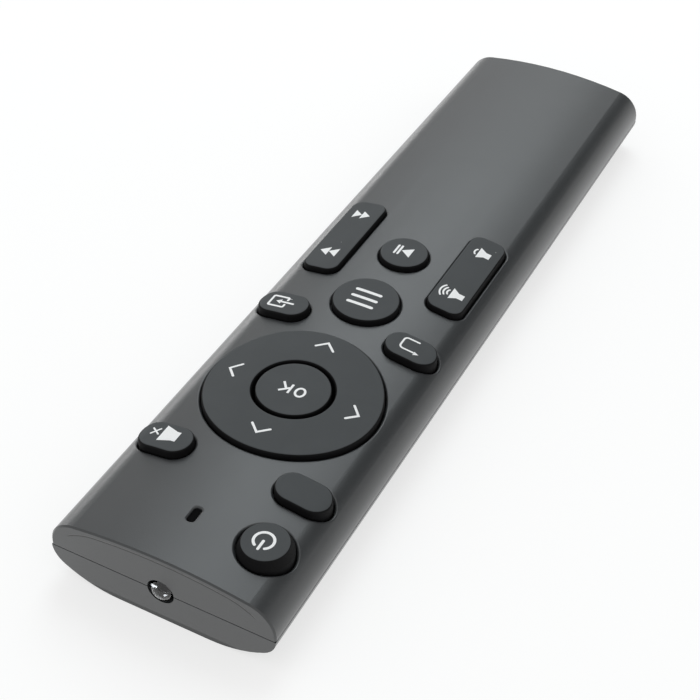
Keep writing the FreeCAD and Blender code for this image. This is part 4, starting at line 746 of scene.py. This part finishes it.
def cell_finish(name, low, high, positive_high):
    """A cell's sleeve with bare steel ends and a band at the positive end."""
    material, tree, shader = start_material(name)
    place = add(tree, "ShaderNodeTexCoord").outputs["Object"]
    along = add(tree, "ShaderNodeSeparateXYZ", {"Vector": place}).outputs["Y"]
    rim, band_width = 1.3 * MM, 12 * MM
    steel = (0.62, 0.62, 0.6, 1.0)
    sleeve_grey, band_copper = (0.045, 0.05, 0.06, 1.0), (0.55, 0.27, 0.05, 1.0)
    after = math_node(tree, "GREATER_THAN", along, low + rim)
    before = math_node(tree, "LESS_THAN", along, high - rim)
    sleeve = math_node(tree, "MULTIPLY", after, before)
    split = high - band_width if positive_high else low + band_width
    band = math_node(tree, "GREATER_THAN" if positive_high else "LESS_THAN", along, split)
    printed = blend_colours(tree, band, sleeve_grey, band_copper)
    colour = blend_colours(tree, sleeve, steel, printed)
    tree.links.new(colour, shader.inputs["Base Color"])
    tree.links.new(math_node(tree, "SUBTRACT", 1.0, sleeve), shader.inputs["Metallic"])
    hands = use_group(tree, group("handling"), Patch_size=6 * MM)
    rough = spread(tree, hands.outputs["Patches"], 0.0, 1.0, 0.24, 0.32)
    tree.links.new(rough, shader.inputs["Roughness"])
    return material


def clear_epoxy(settings):
    """Water-clear cast epoxy."""
    return start_material("clear epoxy", IOR=1.54, Transmission_Weight=1.0, Roughness=0.03,
                          Base_Color=tuple(settings.tint))[0]


# The frame cast inside the LED, in millimetres: out from its middle, and ahead of the leads' ends.
ANVIL_TOP = 4.3
LED_FRAME = (
    ("led_post", -1, ((1.52, 0.0), (1.02, 0.0), (1.02, 1.2), (0.55, 2.2), (0.55, 3.7), (-0.45, 3.7),
                      (-0.45, 2.7), (1.52, 1.6))),
    ("led_anvil", 1, ((1.52, 0.0), (1.02, 0.0), (1.02, 1.3), (0.75, 1.9), (1.3, ANVIL_TOP),
                      (1.75, ANVIL_TOP), (1.75, 1.9), (1.52, 1.3))),
)


def bond_path(start, end, z):
    """The bond wire's arch from the top of the die to the anvil."""
    reach, rise, steps = 1.5 * MM, 0.55 * MM, 24
    shares = [step / steps for step in range(steps + 1)]
    return [Vector((reach * share, start + (end - start) * share + rise * math.sin(math.pi * share), z))
            for share in shares]


# The operators: each makes one piece or one group of like pieces.

class REMOTE_OT_case(Operator):
    """Give the case and the battery door their satin moulded finish"""
    bl_idname = "remote.case"
    bl_label = "Case and door finish"

    def execute(self, context):
        dress(SHELLS, case_plastic(context.scene.remote_case))
        return {"FINISHED"}


class REMOTE_OT_keys(Operator):
    """Give the keys, the ring and the rockers their coated rubber finish"""
    bl_idname = "remote.keys"
    bl_label = "Key finish"

    def execute(self, context):
        dress(KEYS, key_rubber(context.scene.remote_keys))
        return {"FINISHED"}


class REMOTE_OT_marks(Operator):
    """Print the white marks on the keys"""
    bl_idname = "remote.marks"
    bl_label = "Printed key marks"

    def execute(self, context):
        settings = context.scene.remote_marks
        ink = mark_ink(settings)
        width = settings.line / MM
        for node, body, at, shape, offset in MARKS:
            place = middle(at) + Vector((*offset, 0)) * MM
            print_mark(shape.__name__, node, body, place, shape(width), settings.film, ink)
        return {"FINISHED"}


class REMOTE_OT_mat(Operator):
    """Finish the silicone mat, the ring collar, the carbon pills and their pads"""
    bl_idname = "remote.mat"
    bl_label = "Mat, pills and pads"

    def execute(self, context):
        silicone = plain_finish("mat silicone", (0.30, 0.30, 0.31), 0.62, grain=0.2 * MM)
        silicone.node_tree.nodes["Principled BSDF"].inputs["Subsurface Weight"].default_value = 0.15
        silicone.node_tree.nodes["Principled BSDF"].inputs["Subsurface Scale"].default_value = 0.5 * MM
        dress(SILICONE, silicone)
        dress(PILLS, plain_finish("carbon pill", (0.018, 0.018, 0.019), 0.7, grain=0.08 * MM))
        dress(("contact_pads",), pad_finish())
        return {"FINISHED"}


class REMOTE_OT_board(Operator):
    """Finish the circuit board and what is soldered to it"""
    bl_idname = "remote.board"
    bl_label = "Circuit board"

    def execute(self, context):
        dress(("circuit_board",), laminate_finish())
        dress(("remote_chip", "transistor", "resistors"),
              plain_finish("chip epoxy", (0.022, 0.022, 0.023), 0.55, grain=0.06 * MM))
        dress(("resonator",), plain_finish("ceramic coat", (0.62, 0.30, 0.07), 0.3, grain=0.5 * MM))
        dress(("capacitor",), plain_finish("capacitor sleeve", (0.03, 0.04, 0.10), 0.28, grain=0.6 * MM))
        dress(("chip_pins", "led_leads"), metal_finish("tinned metal", (0.72, 0.73, 0.74), 0.25))
        return {"FINISHED"}


class REMOTE_OT_power(Operator):
    """Finish the two cells and the contact plates"""
    bl_idname = "remote.power"
    bl_label = "Cells and contacts"

    def execute(self, context):
        for name, positive_high in CELLS:
            low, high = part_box(name)
            dress((name,), cell_finish(name + " sleeve", low.y, high.y, positive_high))
        dress(PLATES, metal_finish("nickel plate", (0.68, 0.66, 0.62), 0.22))
        return {"FINISHED"}


class REMOTE_OT_springs(Operator):
    """Wind the two contact springs in place of their plain sleeves"""
    bl_idname = "remote.springs"
    bl_label = "Contact springs"

    def execute(self, context):
        settings = context.scene.remote_springs
        steel = metal_finish("spring steel", (0.66, 0.65, 0.62), 0.2, streak=0.05 * MM)
        # The wide end stands on the plate: at the front of one spring and the rear of the other.
        for name, wide_at_front in (("front_spring", True), ("rear_spring", False)):
            low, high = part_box(name)
            centre = (low + high) / 2
            wire = settings.wire / 2
            wide = (high.x - low.x) / 2 - wire
            narrow = settings.narrow - wire
            start, end = (high.y - wire, low.y + wire) if wide_at_front else (low.y + wire, high.y - wire)
            maker = bmesh.new()
            tube(maker, coil(centre, wide, narrow, start, end, settings.turns), wire, sides=14)
            piece = make_piece(name + "_coil", maker, steel, "case")
            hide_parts(name)
        return {"FINISHED"}


class REMOTE_OT_led(Operator):
    """Cast the clear LED with its posts, cup, die and bond wire, and finish the indicator"""
    bl_idname = "remote.led"
    bl_label = "Infrared LED and indicator"

    def execute(self, context):
        settings = context.scene.remote_lamp
        dress(("infrared_led",), clear_epoxy(settings))
        dress(("indicator_led",), plain_finish("red epoxy", (0.35, 0.02, 0.02), 0.25, grain=0.4 * MM))
        dress(("light_pipe",), plain_finish("smoked plastic", (0.001, 0.001, 0.0012), 0.7, grain=0.5 * MM,
                                            depth=0.002 * MM, IOR=1.12))
        low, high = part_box("infrared_led")
        centre = (low + high) / 2
        silver = metal_finish("silvered frame", (0.85, 0.85, 0.84), 0.12)
        cup = settings.cup
        mouth = high.y - 3.9 * MM
        deep = 0.6 * MM
        maker = bmesh.new()
        lathe(maker, [(cup * 0.98, mouth - deep * 1.5), (cup, mouth - deep), (cup * 1.12, mouth),
                      (cup, mouth), (cup * 0.45, mouth - deep), (0.02 * MM, mouth - deep)], centre)
        make_piece("led_cup", maker, silver, "case")
        leads_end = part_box("led_leads")[1].y
        thin = 0.25 * MM
        for name, sign, outline in LED_FRAME:
            maker = bmesh.new()
            corners = [(sign * x * MM, leads_end + y * MM) for x, y in outline]
            slab(maker, corners, centre.z - thin, centre.z + thin)
            make_piece(name, maker, silver, "case", smooth=False)
        die = plain_finish("die", (0.05, 0.04, 0.045), 0.2, grain=0.1 * MM)
        half = 0.19 * MM
        die_base = mouth - deep
        die_top = die_base + 0.15 * MM
        maker = bmesh.new()
        square = [(-half, die_base), (half, die_base), (half, die_top), (-half, die_top)]
        slab(maker, square, centre.z - half, centre.z + half)
        make_piece("led_die", maker, die, "case", smooth=False)
        gold = metal_finish("bond wire", (0.95, 0.72, 0.35), 0.15)
        maker = bmesh.new()
        tube(maker, bond_path(die_top, leads_end + ANVIL_TOP * MM, centre.z), 0.03 * MM, sides=8)
        make_piece("led_bond_wire", maker, gold, "case")
        return {"FINISHED"}


class REMOTE_OT_screw(Operator):
    """Finish the case screw under the battery door"""
    bl_idname = "remote.screw"
    bl_label = "Case screw"

    def execute(self, context):
        dress(("case_screw",), metal_finish("zinc plate", (0.6, 0.61, 0.64), 0.3, streak=0.12 * MM))
        return {"FINISHED"}


class REMOTE_OT_stage(Operator):
    """Set up the pale floor, the soft light and the camera"""
    bl_idname = "remote.stage"
    bl_label = "Stage"

    def execute(self, context):
        settings = context.scene.remote_stage
        scene = context.scene
        make_floor(settings.floor)
        make_room(scene, settings.sky)
        centre = Vector((0.0, 0.0, 0.0))
        sky_lamp = soft_lamp("soft lamp", Vector((0.28, -0.77, 1.09)), centre, (0.62, 0.98), settings.lamp)
        sky_lamp.data.color = (0.88, 0.96, 1.0)
        soft_lamp("rim lamp", Vector((0.86, -0.66, 0.09)), centre, (0.5, 0.14), settings.rim)
        soft_lamp("front lamp", Vector((0.56, 0.86, 0.03)), Vector((0.0, 0.09, 0.007)), (0.22, 0.05),
                  settings.glint)
        # Light that the table gives back to the sides of the remote.
        near = Vector((-0.20, 0.0, 0.0005))
        table = soft_lamp("light table", near, near + Vector((0, 0, 1)), (0.72, 0.84), settings.table)
        table.visible_camera = False
        dark_panel(Vector((-0.37, -0.69, 0.60)), centre, (0.86, 0.80))
        make_camera(scene, settings.lens)
        scene.view_settings.view_transform = "Standard"
        return {"FINISHED"}


def seen_white(tree):
    """One for rays that should see a white background: camera, glossy and transmission rays."""
    path = add(tree, "ShaderNodeLightPath")
    both = math_node(tree, "MAXIMUM", path.outputs["Is Camera Ray"], path.outputs["Is Glossy Ray"])
    return math_node(tree, "MAXIMUM", both, path.outputs["Is Transmission Ray"])


def sheet(name, wide, tall):
    """One flat face, so wide along X and so tall along Y, with its middle at the origin."""
    x, y = wide / 2, tall / 2
    maker = bmesh.new()
    maker.faces.new([maker.verts.new((*corner, 0)) for corner in ((-x, -y), (x, -y), (x, y), (-x, y))])
    mesh = bpy.data.meshes.new(name)
    maker.to_mesh(mesh)
    maker.free()
    piece = bpy.data.objects.new(name, mesh)
    bpy.context.scene.collection.objects.link(piece)
    return piece


def make_floor(size):
    """A pale floor that keeps the shadow of the remote and is clear from below."""
    floor = sheet("floor", size, size)
    material = bpy.data.materials.new("floor paint")
    material.use_nodes = True
    tree = material.node_tree
    tree.nodes.clear()
    paint = add(tree, "ShaderNodeBsdfDiffuse", {"Color": (0.4, 0.4, 0.395, 1.0)})
    level = math_node(tree, "MULTIPLY", seen_white(tree), 0.66)
    glow = add(tree, "ShaderNodeEmission", {"Color": (1.0, 1.0, 1.0, 1.0), "Strength": level})
    both = add(tree, "ShaderNodeAddShader", {0: paint.outputs[0], 1: glow.outputs[0]})
    below = add(tree, "ShaderNodeNewGeometry").outputs["Backfacing"]
    clear = add(tree, "ShaderNodeBsdfTransparent")
    seen = add(tree, "ShaderNodeMixShader", {0: below, 1: both.outputs[0], 2: clear.outputs[0]})
    add(tree, "ShaderNodeOutputMaterial", {"Surface": seen.outputs[0]})
    floor.data.materials.append(material)


def make_room(scene, strength):
    """Even light from all round, which looks white."""
    world = bpy.data.worlds.new("room")
    scene.world = world
    world.use_nodes = True
    tree = world.node_tree
    back = tree.nodes["Background"]
    back.inputs["Color"].default_value = (1.0, 1.0, 1.0, 1.0)
    level = add(tree, "ShaderNodeMapRange", {"Value": seen_white(tree), "To Min": strength, "To Max": 1.0})
    tree.links.new(level.outputs["Result"], back.inputs["Strength"])


def soft_lamp(name, place, aim, size, power):
    """A soft lamp, so wide and so tall, that points at a place."""
    data = bpy.data.lights.new(name, "AREA")
    data.shape = "RECTANGLE"
    data.size, data.size_y = size
    data.energy = power
    lamp = bpy.data.objects.new(name, data)
    bpy.context.scene.collection.objects.link(lamp)
    lamp.location = place
    lamp.rotation_euler = (aim - place).to_track_quat("-Z", "Y").to_euler()
    return lamp


def dark_panel(place, aim, size):
    """A dark board beside the lamp that keeps the light off one shoulder; no camera sees it."""
    panel = sheet("dark_panel", *size)
    panel.location = place
    panel.rotation_euler = (aim - place).to_track_quat("-Z", "Y").to_euler()
    panel.visible_camera = False
    panel.visible_diffuse = False
    panel.visible_shadow = False
    cloth = start_material("dark cloth", Base_Color=(0.02, 0.02, 0.02), Roughness=0.9)[0]
    panel.data.materials.append(cloth)


def make_camera(scene, lens):
    """The camera at the photograph's viewing angle."""
    right = Vector((-0.88848569, -0.45807074, 0.0276474))
    forward = Vector((0.32849161, -0.6769075, -0.65870289))
    down = forward.cross(right)
    data = bpy.data.cameras.new("camera")
    data.sensor_width = 36.0
    data.lens = lens
    camera = bpy.data.objects.new("camera", data)
    scene.collection.objects.link(camera)
    turn = Matrix((right, -down, -forward)).transposed().to_4x4()
    turn.translation = Vector((-0.09253749, 0.21201477, 0.19348578))
    camera.matrix_world = turn
    scene.camera = camera


class REMOTE_PT_panel(Panel):
    """Lists the steps that finish the remote"""
    bl_label = "Remote control"
    bl_idname = "REMOTE_PT_panel"
    bl_space_type = "VIEW_3D"
    bl_region_type = "UI"
    bl_category = "Remote"

    def draw(self, context):
        for step in STEPS:
            self.layout.operator(step.bl_idname)
        for name, group_class in SETTINGS:
            box = self.layout.box()
            settings = getattr(context.scene, name)
            for label in group_class.__annotations__:
                box.prop(settings, label)


SETTINGS = (
    ("remote_case", RemoteCaseSettings),
    ("remote_keys", RemoteKeySettings),
    ("remote_marks", RemoteMarkSettings),
    ("remote_springs", RemoteSpringSettings),
    ("remote_lamp", RemoteLampSettings),
    ("remote_stage", RemoteStageSettings),
)
STEPS = (
    REMOTE_OT_case,
    REMOTE_OT_keys,
    REMOTE_OT_marks,
    REMOTE_OT_mat,
    REMOTE_OT_board,
    REMOTE_OT_power,
    REMOTE_OT_springs,
    REMOTE_OT_led,
    REMOTE_OT_screw,
    REMOTE_OT_stage,
)


def register():
    """Add the settings, the operators and the panel."""
    for name, group_class in SETTINGS:
        bpy.utils.register_class(group_class)
        setattr(bpy.types.Scene, name, PointerProperty(type=group_class))
    for step in STEPS:
        bpy.utils.register_class(step)
    bpy.utils.register_class(REMOTE_PT_panel)


def unregister():
    """Take the panel, the operators and the settings out again."""
    bpy.utils.unregister_class(REMOTE_PT_panel)
    for step in reversed(STEPS):
        bpy.utils.unregister_class(step)
    for name, group_class in reversed(SETTINGS):
        delattr(bpy.types.Scene, name)
        bpy.utils.unregister_class(group_class)


def main():
    """Make everything, in order."""
    register()
    bpy.ops.remote.case()
    bpy.ops.remote.keys()
    bpy.ops.remote.marks()
    bpy.ops.remote.mat()
    bpy.ops.remote.board()
    bpy.ops.remote.power()
    bpy.ops.remote.springs()
    bpy.ops.remote.led()
    bpy.ops.remote.screw()
    bpy.ops.remote.stage()


if __name__ == "__main__":
    main()
